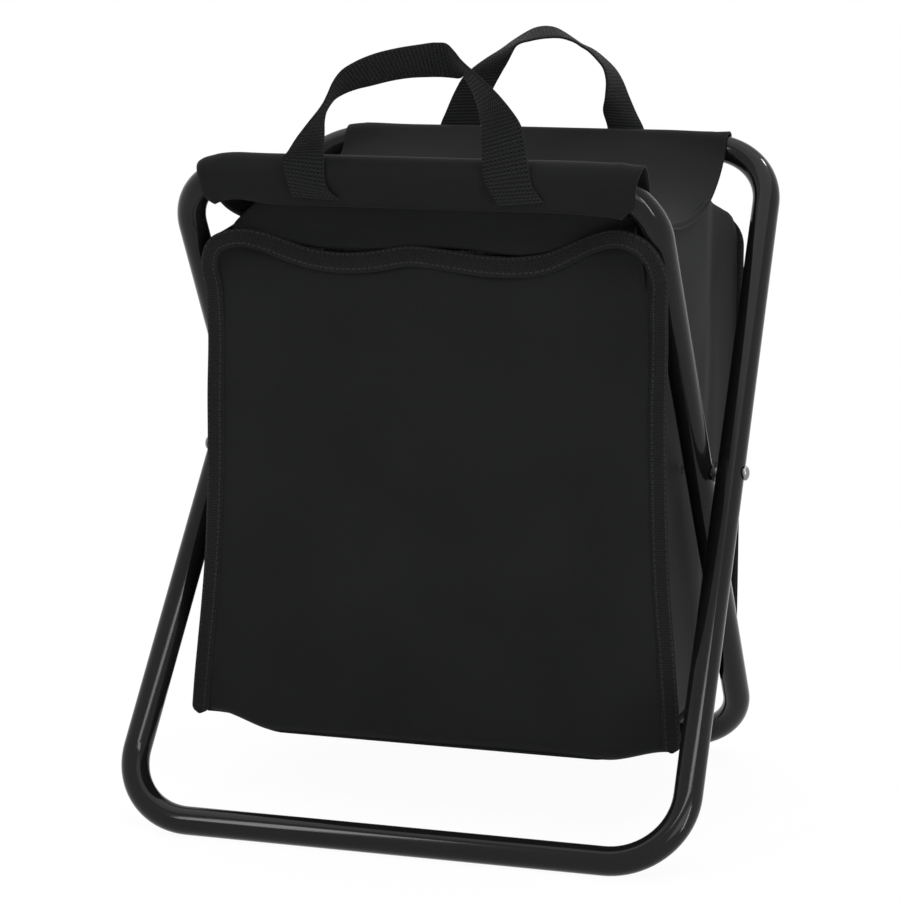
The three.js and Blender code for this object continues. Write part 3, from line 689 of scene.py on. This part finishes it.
def back_grid():
    """The rear of the bag: swollen a little, with a rolled bottom edge and rounded upper corners."""
    u = np.linspace(-1, 1, 101)[None, :]
    v = np.linspace(0, 1, 90)[:, None]
    top = BACK_HIGH[2] + 8 - 12 * np.abs(u) ** 14
    low = PANEL_LOW[2] + 1 + 4 * u**6
    z = low + BACK_ROLL + (top - low - BACK_ROLL) * v
    swell = (1 - np.abs(u) ** 2.8) * (1 - np.abs(2 * v - 1) ** 3)
    y = BACK_LOW[1] + 0.8 + 4.5 * swell + 0.6 * np.sin(u * 9 + v * 5) * swell
    return rolled(grid_of(u * BACK_HALF, y, z), BACK_ROLL, np.pi / 2, 10, back=-1)


def upper_panel_grid():
    """The strip between the zip and the seat: a small roll along its lower edge, then up and forward."""
    u = np.linspace(-1, 1, 121)[None, :]
    v = np.linspace(0, 1, 40)[:, None]
    lip = hermite(UPPER_LIP_X, UPPER_LIP_Z, UPPER_SHIFT + u * UPPER_HALF)
    top = UPPER_TOP - 5 * u**2
    z = lip + (top - lip) * v
    drawn = ease(z, 336, 354)
    x = UPPER_SHIFT + 4 * drawn + u * (UPPER_HALF - 10 * drawn)
    ends = ease(np.abs(u), 0.72, 1)
    y = front_middle(z) - 0.6 - 8 * ease(v, 0.15, 1) + 0.7 * np.sin(x / 13) * (1 - v) - 9 * ends * (1 - v)
    return rolled(grid_of(x, y, z), 2.2, 1.35 * np.pi, 14, lean=0.6)


def tape_grid(line, depth, width, thick, share=1.0):
    """A flat section carried along a line seen from the front, at a depth and a share of its width."""
    run = run_of(line)
    at = grid_of(line[:, 0], depth, line[:, 1])
    forward = run_of(at)
    face = unit(np.cross(grid_of(-run[:, 1], 0, run[:, 0]), forward))
    across = unit(np.cross(forward, face)) * np.reshape(share, (-1, 1))
    return swept(at, across, face, section(width / 2, thick / 2, 3.2, 20))


def rear_binding_line():
    """The middle of the rear binding: an upside-down U with round upper corners."""
    low, top = PANEL_LOW[2] + 8, BACK_HIGH[2] + 5.3
    corners = ((BACK_HALF, low), (BACK_HALF, top), (-BACK_HALF, top), (-BACK_HALF, low))
    return rounded_line(corners, 16, 24, 30)


def coil_grid():
    """The closed zip: a round section along the mouth whose radius ripples once a tooth."""
    x = np.linspace(-ZIP_HALF, ZIP_HALF, 900)
    tooth = 1 + 0.16 * np.sin(2 * np.pi * x / 1.9)
    line = grid_of(x, COIL_MIDDLE[1], COIL_MIDDLE[2] + 0.6 * np.sin(x / 24) + zip_rise(x))
    run = run_of(line)
    up = grid_of(-run[:, 2], 0, run[:, 0]) * tooth[:, None]
    return swept(line, up, np.array((0.0, 1.0, 0.0)) * tooth[:, None], section(1.9, 1.1, 2.4, 10))


def slider_parts():
    """The slider's body, a wedge with a raised middle, and its bail, a small arch of wire along x."""
    low, high = SLIDER_LOW, SLIDER_HIGH
    middle = (low + high) / 2
    plate_front = high[1] - 2.2
    body = slab((low[0], plate_front, low[2]), (high[0], high[1], high[2]), 1.0)
    pinch = 1 - 0.28 * (body[..., 0] - low[0]) / (high[0] - low[0])
    body[..., 2] = middle[2] + (body[..., 2] - middle[2]) * pinch
    crown_low = (low[0] + 1.5, plate_front - 0.5, middle[2] - 1.6)
    crown = slab(crown_low, (high[0] - 1.5, plate_front + 0.6, middle[2] + 1.6), 0.5)
    turn = np.linspace(0, np.pi, 25)
    reach, rise = 3.6, plate_front - low[1] - 0.7
    line = grid_of(middle[0] - reach * np.cos(turn), plate_front - rise * np.sin(turn) ** 0.7, middle[2])
    run = run_of(line)
    side = np.broadcast_to(np.array((0.0, 0.0, 1.0)), line.shape)
    bail = swept(line, unit(np.cross(side, run)), side, section(0.7, 1.3, 3, 12))
    return [part(body, True), part(crown, True), part(bail, True, True)]


def pull_parts():
    """The pull: a flat tab with a round end and a slot for the bail, as one ring swept round the slot."""
    low, high = PULL_LOW, PULL_HIGH
    middle = (low + high) / 2
    outer = section((high[0] - low[0]) / 2, (high[2] - low[2]) / 2, 4, 64)
    turn = np.linspace(0, 2 * np.pi, 64, endpoint=False)
    hole_x = low[0] + 3.6 - middle[0]
    inner = np.stack((hole_x + 1.9 * np.cos(turn), 2.1 * np.sin(turn)), -1)
    thick = (high[1] - low[1]) / 2
    steps = ((inner, -1), (inner, 1), (outer * 0.97, 1), (outer, 0.4), (outer, -0.4), (outer * 0.97, -1))
    x, y, z = middle
    rings = [grid_of(x + ring[:, 0], y + level * thick, z + ring[:, 1]) for ring, level in steps]
    grid = np.stack(rings + rings[:1], 1)
    return [part(np.concatenate((grid, grid[:1])))]


def tub_grid():
    """The liner: one film from the middle of its floor out and up its four walls, lower at the mouth."""
    turn = np.linspace(0, 2 * np.pi, 120, endpoint=False)[None, :]
    c, s = np.cos(turn), np.sin(turn)
    half = (TUB_HIGH - TUB_LOW) / 2
    power = 2 / 9
    rim_x = half[0] * np.sign(c) * np.abs(c) ** power
    rim_y = half[1] * np.sign(s) * np.abs(s) ** power
    middle = (TUB_LOW + TUB_HIGH) / 2
    rim = 306 + 14 * ease(rim_y + middle[1], -60, 40)
    out = np.linspace(0.02, 1, 16)[:, None]
    floor = grid_of(rim_x * out, middle[1] + rim_y * out, TUB_LOW[2] + 0.8 + 4 * out**12)
    climb = np.linspace(0, 1, 40)[1:, None]
    z = floor[-1, :, 2] + (rim - floor[-1, :, 2]) * climb
    pull_in = 1 - 0.012 * np.sin(np.pi * climb) * np.abs(np.sin(2 * turn))
    return np.concatenate((floor, grid_of(rim_x * pull_in, middle[1] + rim_y * pull_in, z)))


def feed(tree, node, *values, **named):
    """Feeds a node's inputs with sockets or values, in order or by name with _ for a space; gives the node."""
    pairs = [*zip(node.inputs, values), *((node.inputs[key.replace("_", " ")], named[key]) for key in named)]
    for socket, value in pairs:
        if isinstance(value, bpy.types.NodeSocket):
            tree.links.new(value, socket)
        else:
            socket.default_value = value
    return node


def shader_node(tree, kind, *values, **named):
    """A new shader node with its inputs fed."""
    return feed(tree, tree.nodes.new(f"ShaderNode{kind}"), *values, **named)


def maths(tree, operation, *values):
    """A Math node's value."""
    node = tree.nodes.new("ShaderNodeMath")
    node.operation = operation
    return feed(tree, node, *values).outputs[0]


def scaled(tree, colour, factor):
    """A colour multiplied by a value."""
    node = tree.nodes.new("ShaderNodeVectorMath")
    node.operation = "SCALE"
    return feed(tree, node, colour, Scale=factor).outputs[0]


def weighed(tree, value, factor, offset):
    """A value multiplied by a factor, plus an offset."""
    return maths(tree, "ADD", maths(tree, "MULTIPLY", value, factor), offset)


def mixed(tree, factor, a, b):
    """A colour mix of two colours."""
    node = tree.nodes.new("ShaderNodeMix")
    node.data_type = "RGBA"
    for index, value in ((0, factor), (6, a), (7, b)):
        tree.links.new(value, node.inputs[index])
    return node.outputs[2]


def group(name, inputs, outputs):
    """An empty node group that takes a vector and other inputs; gives its tree, its inputs and its end."""
    tree = bpy.data.node_groups.new(name, "ShaderNodeTree")
    tree.interface.new_socket("Vector", in_out="INPUT", socket_type="NodeSocketVector")
    for label, kind, default in inputs:
        socket = tree.interface.new_socket(label, in_out="INPUT", socket_type=f"NodeSocket{kind}")
        socket.default_value = default
    for label, kind in outputs:
        tree.interface.new_socket(label, in_out="OUTPUT", socket_type=f"NodeSocket{kind}")
    return tree, tree.nodes.new("NodeGroupInput").outputs, tree.nodes.new("NodeGroupOutput")


def cloud_group():
    """Soft uneven colour: two sizes of noise shade the colour between a darker and a lighter copy of it."""
    inputs = (("Colour", "Color", (0.02, 0.02, 0.02, 1)), ("Amount", "Float", 0.3))
    tree, given, made = group("Uneven Colour", inputs, (("Colour", "Color"), ("Value", "Float")))
    broad, fine = (
        shader_node(tree, "TexNoise", Vector=given["Vector"], Scale=scale, Detail=detail).outputs[0]
        for scale, detail in ((14, 2), (420, 3))
    )
    value = weighed(tree, broad, 0.65, maths(tree, "MULTIPLY", fine, 0.35))
    swing = maths(tree, "MULTIPLY", maths(tree, "SUBTRACT", value, 0.5), given["Amount"])
    feed(tree, made, Colour=scaled(tree, given["Colour"], weighed(tree, swing, 2, 1)), Value=value)
    return tree


def weave_group():
    """Woven threads: over and under by the product of two sines of the UV run, at a pitch in metres."""
    inputs = (("Pitch", "Float", 0.0008), ("Slant", "Float", 0.0))
    tree, given, made = group("Weave", inputs, (("Height", "Float"),))
    along, across = shader_node(tree, "SeparateXYZ", given["Vector"]).outputs[:2]
    slanted = weighed(tree, across, given["Slant"], along)
    turns = [maths(tree, "DIVIDE", run, given["Pitch"]) for run in (slanted, across)]
    waves = [maths(tree, "SINE", maths(tree, "MULTIPLY", turn, 2 * math.pi)) for turn in turns]
    crossed = maths(tree, "MULTIPLY", maths(tree, "MULTIPLY", *waves), 0.35)
    feed(tree, made, Height=maths(tree, "ADD", weighed(tree, waves[0], 0.3, crossed), 0.5))
    return tree


def stitch_group():
    """A row of stitches along the UV run: a mask that is 1 on each thread, at a given place across."""
    inputs = (("Across", "Float", 0.0), ("Pitch", "Float", 0.003))
    tree, given, made = group("Stitch Row", inputs, (("Mask", "Float"),))
    along, across = shader_node(tree, "SeparateXYZ", given["Vector"]).outputs[:2]
    off = maths(tree, "ABSOLUTE", maths(tree, "SUBTRACT", across, given["Across"]))
    step = maths(tree, "FRACT", maths(tree, "DIVIDE", along, given["Pitch"]))
    on_thread = maths(tree, "LESS_THAN", off, 0.00042), maths(tree, "LESS_THAN", step, 0.68)
    feed(tree, made, Mask=maths(tree, "MULTIPLY", *on_thread))
    return tree


# Places of the binding's stitch rows across its section, in metres.
BINDING_STITCHES = (-0.0088, -0.0018, 0.0018, 0.0088)


class Finishes:
    """Materials of the stool, made once on first use from the scene's colours."""

    made = {}
    groups = {}

    @classmethod
    def use(cls, tree, name, vector, **values):
        """Puts a node group that several materials share in a material's tree; gives its outputs."""
        makers = {"cloud": cloud_group, "weave": weave_group, "stitch": stitch_group}
        if name not in cls.groups:
            cls.groups[name] = makers[name]()
        node = tree.nodes.new("ShaderNodeGroup")
        node.node_tree = cls.groups[name]
        return feed(tree, node, Vector=vector, **values).outputs

    @classmethod
    def base(cls, name, colour, amount, **settings):
        """A Principled material with uneven colour; gives its tree and shader, the UV and the unevenness."""
        material = bpy.data.materials.new(name)
        material.use_nodes = True
        tree = material.node_tree
        where = tree.nodes.new("ShaderNodeTexCoord").outputs
        cloud = cls.use(tree, "cloud", where["Object"], Colour=(*colour, 1), Amount=amount)
        shader = feed(tree, tree.nodes["Principled BSDF"], Base_Color=cloud["Colour"], **settings)
        return material, tree, shader, where["UV"], cloud

    @classmethod
    def bumped(cls, tree, shader, height, distance):
        """Feeds a height into the shader's normal."""
        bump = shader_node(tree, "Bump", Distance=distance, Strength=1.0, Height=height)
        feed(tree, shader, Normal=bump.outputs[0])

    @classmethod
    def cloth(cls, name, colour, rough):
        """Woven cloth: uneven colour, threads as a bump and a soft sheen."""
        material, tree, shader, uv, cloud = cls.base(
            name, colour, 0.35, Roughness=rough, Sheen_Weight=0.02, Sheen_Roughness=0.5, Specular_IOR_Level=0.03
        )
        weave = cls.use(tree, "weave", uv, Pitch=0.0007, Slant=0.0)
        cls.bumped(tree, shader, weighed(tree, weave["Height"], 0.35, cloud["Value"]), 0.00006)
        return material

    @classmethod
    def taped(cls, name, colour, pitch, slant, rows):
        """Tape with ribs and rows of stitches at the given places across; painted shade in the grooves, painted
        light on the ribs.
        """
        material, tree, shader, uv, cloud = cls.base(
            name, colour, 0.3, Roughness=0.62, Sheen_Weight=0.03, Sheen_Roughness=0.5, Specular_IOR_Level=0.03
        )
        height = cls.use(tree, "weave", uv, Pitch=pitch, Slant=slant)["Height"]
        # Painted shade and painted light: the colour is darkened in the rib grooves and lightened on the rib
        # tops, by rib height.
        colour_with_painted_rib_shade = scaled(tree, cloud["Colour"], weighed(tree, height, 1.3, 0.35))
        for row in rows:
            mask = cls.use(tree, "stitch", uv, Across=row, Pitch=0.0031)["Mask"]
            height = maths(tree, "SUBTRACT", height, mask)
            thread = tree.nodes.new("ShaderNodeRGB").outputs[0]
            thread.default_value = (*[min(1, 2.4 * c) for c in colour], 1)
            colour_with_painted_rib_shade = mixed(tree, mask, colour_with_painted_rib_shade, thread)
        feed(tree, shader, Base_Color=colour_with_painted_rib_shade)
        cls.bumped(tree, shader, height, 0.0006)
        return material

    @classmethod
    def hard(cls, name, colour, rough, distance, **settings):
        """Paint, metal, film or foam: uneven colour and a faint unevenness of the surface."""
        material, tree, shader, _, cloud = cls.base(name, colour, 0.25, **settings)
        feed(tree, shader, Roughness=weighed(tree, cloud["Value"], 0.12, rough - 0.06))
        cls.bumped(tree, shader, cloud["Value"], distance)
        return material

    @classmethod
    def get(cls, name):
        """A material by its short name."""
        c = bpy.context.scene.stool_colours
        makers = {
            "paint": lambda: cls.hard("Tube Paint", c.paint, 0.11, 0.000004, Specular_IOR_Level=0.17),
            "steel": lambda: cls.hard("Rivet Steel", c.steel, 0.34, 0.00003, Metallic=1.0),
            "nylon": lambda: cls.hard("Nylon", c.zip, 0.45, 0.00003),
            "zip_metal": lambda: cls.hard("Zip Enamel", c.zip, 0.3, 0.00003, Specular_IOR_Level=0.5),
            "seat": lambda: cls.cloth("Seat Cloth", c.seat, 0.62),
            "bag": lambda: cls.cloth("Bag Cloth", c.bag, 0.6),
            "webbing": lambda: cls.taped("Webbing", c.webbing, 0.0022, 0.0, ()),
            "binding": lambda: cls.taped("Binding", c.binding, 0.0016, 1.0, BINDING_STITCHES),
            "foam": lambda: cls.hard("Foam", c.foam, 0.85, 0.0002),
            "liner": lambda: cls.hard("Liner Film", c.liner, 0.35, 0.0002),
        }
        if name not in cls.made:
            cls.made[name] = makers[name]()
        return cls.made[name]


def flattens(piece):
    """Gives a piece of the bag a mesh of its own."""
    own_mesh(piece)


def bag_sheet(name, grid, nodes, material="bag"):
    """One cloth piece of the bag, thickened and given a mesh of its own."""
    piece = build(name, [part(grid)], material, nodes, "cooler_bag")
    thicken(piece, bpy.context.scene.stool_sizes.cloth)
    flattens(piece)


def build_tape(name, grid, node):
    """One tape of the bag, closed all round."""
    return build(name, [part(grid, True, True)], "binding", (node,), "cooler_bag", 60)


class STOOL_OT_frames(bpy.types.Operator):
    """Two bent tube loops, each one round section carried along its rounded outline"""

    bl_idname = "stool.frames"
    bl_label = "Tube Loops"

    def execute(self, context):
        sizes = context.scene.stool_sizes
        for loop, name in zip(loops(sizes), ("outer_frame", "inner_frame")):
            grid = tube_grid(loop, sizes.tube / MM / 2)
            build(f"{name}_tube", [part(grid, True, True)], "paint", (name,), name)
        return {"FINISHED"}


class STOOL_OT_pivots(bpy.types.Operator):
    """Rivets and spacers, each a profile turned about the pivot's axis"""

    bl_idname = "stool.pivots"
    bl_label = "Rivets and Spacers"

    def execute(self, context):
        head, tail, end = RIVET_HIGH[0] - 3.4, RIVET_LOW[0] + 1.6, RIVET_LOW[0] + 0.5
        pin, dome, rise, foot = 3.0, 4.2, 2.4, 3.8
        rivet = [(end, 0.01), (end, foot - 0.4), (end + 0.4, foot), (tail, foot), (tail, pin), (head, pin)]
        rivet += [(head, dome)]
        rivet += [(head + rise * math.sin(a), dome * math.cos(a)) for a in np.linspace(0.06, 1.55, 9)]
        low, high, bore, rim = SPACER_LOW[0], SPACER_HIGH[0], 3.3, 5.8
        ring = [(low, bore), (low, rim - 0.3), (low + 0.3, rim)]
        ring += [(high - 0.3, rim), (high, rim - 0.3), (high, bore), (low, bore)]
        for side, sign in (("right", 1), ("left", -1)):
            pins = [part(lathed(rivet, 40) * (sign, 1, 1), True, True)]
            build(f"rivet_{side}_pin", pins, "steel", (f"rivet_{side}",), "outer_frame", 30)
            rings = [part(lathed(ring, 40) * (sign, 1, 1), True)]
            build(f"spacer_{side}_ring", rings, "nylon", (f"spacer_{side}",), "outer_frame", 30)
        return {"FINISHED"}


class STOOL_OT_seat(bpy.types.Operator):
    """The seat with its two sleeves: one strip of cloth round both rails"""

    bl_idname = "stool.seat"
    bl_label = "Seat and Sleeves"

    def execute(self, context):
        sizes = context.scene.stool_sizes
        grid = seat_grid(sizes)
        nodes = ("front_sleeve", "seat_sling", "rear_sleeve")
        piece = build("seat_cloth", [part(grid)], "seat", nodes)
        thicken(piece, sizes.cloth)
        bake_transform(piece)
        return {"FINISHED"}


class STOOL_OT_handles(bpy.types.Operator):
    """Two webbing handles, flat straps that twist between two edge lines and bend at their feet"""

    bl_idname = "stool.handles"
    bl_label = "Handles"

    def execute(self, context):
        sizes = context.scene.stool_sizes
        outer, inner = loops(sizes)
        for name, rows, loop, body in (
            ("front_handle", FRONT_HANDLE, inner, "inner_frame"),
            ("rear_handle", REAR_HANDLE, outer, "outer_frame"),
        ):
            grid = handle_grid(rows, loop, sizes)
            strap = part(grid, True, True)
            piece = build(f"{name}_strap", [strap], "webbing", (name,), sharp=60)
            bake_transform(piece)
        return {"FINISHED"}


class STOOL_OT_bag(bpy.types.Operator):
    """The bag's cloth: front, back, two sides, bottom, top and the strip above the zip"""

    bl_idname = "stool.bag"
    bl_label = "Bag Panels"

    def execute(self, context):
        sizes = context.scene.stool_sizes
        bag_sheet("front_cloth", front_panel_grid(sizes), ("front_panel",))
        bag_sheet("back_cloth", back_grid(), ("back_panel",))
        bag_sheet("right_side_cloth", gusset_grid(1), ("right_gusset",))
        bag_sheet("left_side_cloth", gusset_grid(-1), ("left_gusset",))
        bag_sheet("bottom_cloth", bottom_grid(sizes), ("bottom_panel",))
        bag_sheet("top_cloth", roof_grid(*TOP_SHEET), ("top_panel",))
        bag_sheet("upper_front_cloth", upper_panel_grid(), ("upper_front_panel",))
        return {"FINISHED"}


class STOOL_OT_bindings(bpy.types.Operator):
    """Bound edges of the bag's front and rear, a flat section carried along each edge"""

    bl_idname = "stool.bindings"
    bl_label = "Bindings"

    def execute(self, context):
        sizes = context.scene.stool_sizes
        width, thick = sizes.binding / MM, sizes.binding_thick / MM
        front = binding_line(width / 2)
        at_mouth = ease(front[:, 1], 308, 316) * (1 - ease(np.abs(front[:, 0] - 5.5), 84, 118))
        edge, middle = edge_front(front[:, 1]), front_middle(front[:, 1]) - 1.8
        depth = edge + (middle - edge) * at_mouth
        wider = 1 + 0.18 * at_mouth * (1 - ease(front[:, 0], 60, 90))
        for name, line, at, node, share in (
            ("front_edge_tape", front, depth, "front_binding", wider),
            ("rear_edge_tape", rear_binding_line(), BACK_HIGH[1] + 0.8, "rear_binding", 1.0),
        ):
            run = run_along(line)
            to_end = np.clip(1 - np.minimum(run, run[-1] - run) / (0.45 * width), 0, 0.98)
            grid = tape_grid(line, at, width, thick, share=share * np.sqrt(1 - to_end**2))
            piece = build_tape(name, grid, node)
            flattens(piece)
        return {"FINISHED"}


class STOOL_OT_zip(bpy.types.Operator):
    """The zip: two tapes, a coil with teeth, the slider and its pull"""

    bl_idname = "stool.zip"
    bl_label = "Zip"

    def execute(self, context):
        x = np.linspace(-ZIP_HALF, ZIP_HALF, 160)
        for side, level in (("upper", TAPE_LEVEL), ("lower", -TAPE_LEVEL)):
            line = np.stack((x, COIL_MIDDLE[2] + level + zip_rise(x)), -1)
            grid = tape_grid(line, PANEL_HIGH[1] + 0.5, ZIP_TAPE, 0.8)
            piece = build_tape(f"{side}_zip_tape", grid, f"zip_{side}_tape")
            flattens(piece)
        coil = part(coil_grid(), True, True)
        flattens(build("zip_teeth", [coil], "nylon", ("zip_coil",), "cooler_bag", 80))
        for name, parts, node, sharp in (
            ("zip_slider_body", slider_parts(), "zip_slider", 40),
            ("zip_pull_tab", pull_parts(), "zip_pull", 30),
        ):
            flattens(build(name, parts, "zip_metal", (node,), node, sharp))
        return {"FINISHED"}


class STOOL_OT_lining(bpy.types.Operator):
    """Foam pads with round edges and the liner, one film from the middle of its floor up its four walls"""

    bl_idname = "stool.lining"
    bl_label = "Foam and Liner"

    def execute(self, context):
        for name in ("foam_front", "foam_back", "foam_left", "foam_right", "foam_bottom"):
            low, high = edges_of(name)
            low[2], high[2] = low[2] + 2.5, min(high[2], FOAM_TOP)
            if name == "foam_bottom":
                low[:2], high[:2] = low[:2] + 14, high[:2] - 14
            self.pad(name, part(slab(low, high, 1.6), True))
        thicken(self.pad("foam_lid", part(roof_grid(*FOAM_LID))), LID_THICK)
        lid = roof_grid(*LINER_LID)
        bag_sheet("liner_lid_film", lid, ("liner_lid",), "liner")
        tub = tub_grid()
        piece = build("liner_film", [part(tub, True)], "liner", ("liner_tub",), "cooler_bag")
        thicken(piece, LINER_THICK)
        flattens(piece)
        return {"FINISHED"}

    def pad(self, name, shape):
        """One foam pad on the bag's body, with a mesh of its own."""
        piece = build(f"{name}_pad", [shape], "foam", (name,), "cooler_bag")
        flattens(piece)
        return piece


LAMPS = (
    # Name, place, target, size, power and whether the paint mirrors it.
    ("Top", (0.0, 0.05, 1.9), (0, 0, 0.25), (2.6, 1.6), 15, True),
    ("Left Front", (-0.62, -1.3, 0.98), (0, 0, 0.1), (0.22, 0.75), 7, True),
    ("Right Front", (1.5, -1.3, 0.9), (0, 0, 0.2), (1.0, 1.0), 9, True),
    ("Right", (0.685, -1.107, 1.703), (0.16, -0.12, 0.05), (1.4, 0.16), 8.5, True),
    ("Right Low", (1.45, -0.66, 0.41), (0.1, -0.1, 0.35), (0.1, 0.8), 6, True),
    ("Rear", (0.75, 0.95, 1.75), (0, 0, 0.3), (0.16, 0.16), 6, True),
    ("Back Fill", (-0.7, 1.9, 1.0), (0, 0, 0.2), (1.2, 1.2), 24, False),
    ("Left Fill", (-1.8, 0.7, 0.9), (0, 0, 0.2), (1.0, 1.0), 14, False),
)
SKY_LIGHT = 0.35
CAMERA_PLACE, CAMERA_TARGET = (0.5149, -1.6632, 0.5062), (-0.0089, -0.00709, 0.2018)
CAMERA_LENS, CAMERA_ROLL = 122.08, 0.11


def facing(place, target):
    """The turn of a lamp or camera at a place that faces a target."""
    return (Vector(target) - Vector(place)).to_track_quat("-Z", "Y")


def area_light(name, place, target, size, power, gloss):
    """A soft rectangular lamp that faces a point; without gloss it isn't mirrored in the paint."""
    data = bpy.data.lights.new(name, "AREA")
    data.shape = "RECTANGLE"
    data.size, data.size_y = size
    data.energy = power
    lamp = bpy.data.objects.new(name, data)
    lamp.location = place
    lamp.rotation_euler = facing(place, target).to_euler()
    lamp.visible_camera = False
    lamp.visible_glossy = gloss
    bpy.context.scene.collection.objects.link(lamp)


def background_rays(tree):
    """1 for the rays that see the white background: from the camera, mirrored or through glass."""
    ray = tree.nodes.new("ShaderNodeLightPath").outputs
    shown = maths(tree, "MAXIMUM", ray["Is Camera Ray"], ray["Is Glossy Ray"])
    return maths(tree, "MAXIMUM", shown, ray["Is Transmission Ray"])


class STOOL_OT_stage(bpy.types.Operator):
    """White floor and backdrop, soft lamps and the camera"""

    bl_idname = "stool.stage"
    bl_label = "Stage"

    def execute(self, context):
        self.floor()
        self.world(context.scene)
        for lamp in LAMPS:
            area_light(*lamp)
        self.camera(context.scene)
        return {"FINISHED"}

    def floor(self):
        """A level sheet that turns up into a backdrop far behind.

        It is white to the camera and in reflections, with the stool's own shadow.
        """
        reach, level_end, bend = 6000, 4000, 1500
        turn = np.linspace(0.1, np.pi / 2, 16)
        run = np.concatenate((np.linspace(-reach, level_end, 12), level_end + bend * np.sin(turn)))
        rise = np.concatenate((np.zeros(12), bend * (1 - np.cos(turn))))
        run, rise = np.append(run, run[-1])[:, None], np.append(rise, reach)[:, None]
        sweep = surface("Backdrop", [part(grid_of(np.linspace(-reach, reach, 9), run, rise - 0.05))], 40)
        material = bpy.data.materials.new("Backdrop White")
        material.use_nodes = True
        tree = material.node_tree
        tree.nodes.remove(tree.nodes["Principled BSDF"])
        lit = shader_node(tree, "BsdfDiffuse", Color=(0.88, 0.88, 0.88, 1)).outputs[0]
        glow = shader_node(tree, "Emission", Strength=1.0).outputs[0]
        far = tree.nodes.new("ShaderNodeVectorMath")
        far.operation = "LENGTH"
        feed(tree, far, tree.nodes.new("ShaderNodeTexCoord").outputs["Object"])
        spread = tree.nodes.new("ShaderNodeMapRange")
        spread.interpolation_type = "SMOOTHSTEP"
        feed(tree, spread, Value=far.outputs["Value"], From_Min=0.2, From_Max=0.6, To_Min=0.95, To_Max=1.0)
        share = maths(tree, "MULTIPLY", background_rays(tree), spread.outputs[0])
        mix = shader_node(tree, "MixShader", share, lit, glow)
        feed(tree, tree.nodes["Material Output"], Surface=mix.outputs[0])
        sweep.data.materials.append(material)

    def world(self, scene):
        """An even, dim sky that lights the shaded sides; the camera and mirrored rays see it white."""
        world = bpy.data.worlds.new("Studio")
        world.use_nodes = True
        tree = world.node_tree
        strength = weighed(tree, background_rays(tree), 1 - SKY_LIGHT, SKY_LIGHT)
        feed(tree, tree.nodes["Background"], Color=(1, 1, 1, 1), Strength=strength)
        scene.world = world
        scene.view_settings.view_transform = "Standard"

    def camera(self, scene):
        """The photo's angle: from the right of the front, a little above."""
        data = bpy.data.cameras.new("Camera")
        data.lens = CAMERA_LENS
        data.sensor_width = 36
        camera = bpy.data.objects.new("Camera", data)
        turn = facing(CAMERA_PLACE, CAMERA_TARGET).to_matrix().to_4x4()
        roll = Matrix.Rotation(math.radians(CAMERA_ROLL), 4, "Z")
        camera.matrix_world = Matrix.Translation(CAMERA_PLACE) @ turn @ roll
        scene.collection.objects.link(camera)
        scene.camera = camera


class STOOL_PT_panel(bpy.types.Panel):
    """Buttons and sizes of the stool"""

    bl_idname = "STOOL_PT_panel"
    bl_label = "Folding Cooler Stool"
    bl_space_type = "VIEW_3D"
    bl_region_type = "UI"
    bl_category = "Stool"

    def draw(self, context):
        for operator in OPERATORS:
            self.layout.operator(operator.bl_idname)
        for owner in (context.scene.stool_sizes, context.scene.stool_colours):
            for name in owner.__annotations__:
                self.layout.prop(owner, name)


OPERATORS = (
    STOOL_OT_frames,
    STOOL_OT_pivots,
    STOOL_OT_seat,
    STOOL_OT_handles,
    STOOL_OT_bag,
    STOOL_OT_bindings,
    STOOL_OT_zip,
    STOOL_OT_lining,
    STOOL_OT_stage,
)
CLASSES = (StoolSizes, StoolColours, *OPERATORS, STOOL_PT_panel)


def register():
    for cls in CLASSES:
        bpy.utils.register_class(cls)
    bpy.types.Scene.stool_sizes = bpy.props.PointerProperty(type=StoolSizes)
    bpy.types.Scene.stool_colours = bpy.props.PointerProperty(type=StoolColours)


def unregister():
    del bpy.types.Scene.stool_colours
    del bpy.types.Scene.stool_sizes
    for cls in reversed(CLASSES):
        bpy.utils.unregister_class(cls)


def main():
    """Registers the add-on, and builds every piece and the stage."""
    register()
    bpy.ops.stool.frames()
    bpy.ops.stool.pivots()
    bpy.ops.stool.seat()
    bpy.ops.stool.handles()
    bpy.ops.stool.bag()
    bpy.ops.stool.bindings()
    bpy.ops.stool.zip()
    bpy.ops.stool.lining()
    bpy.ops.stool.stage()
    bpy.context.view_layer.update()


if __name__ == "__main__":
    main()
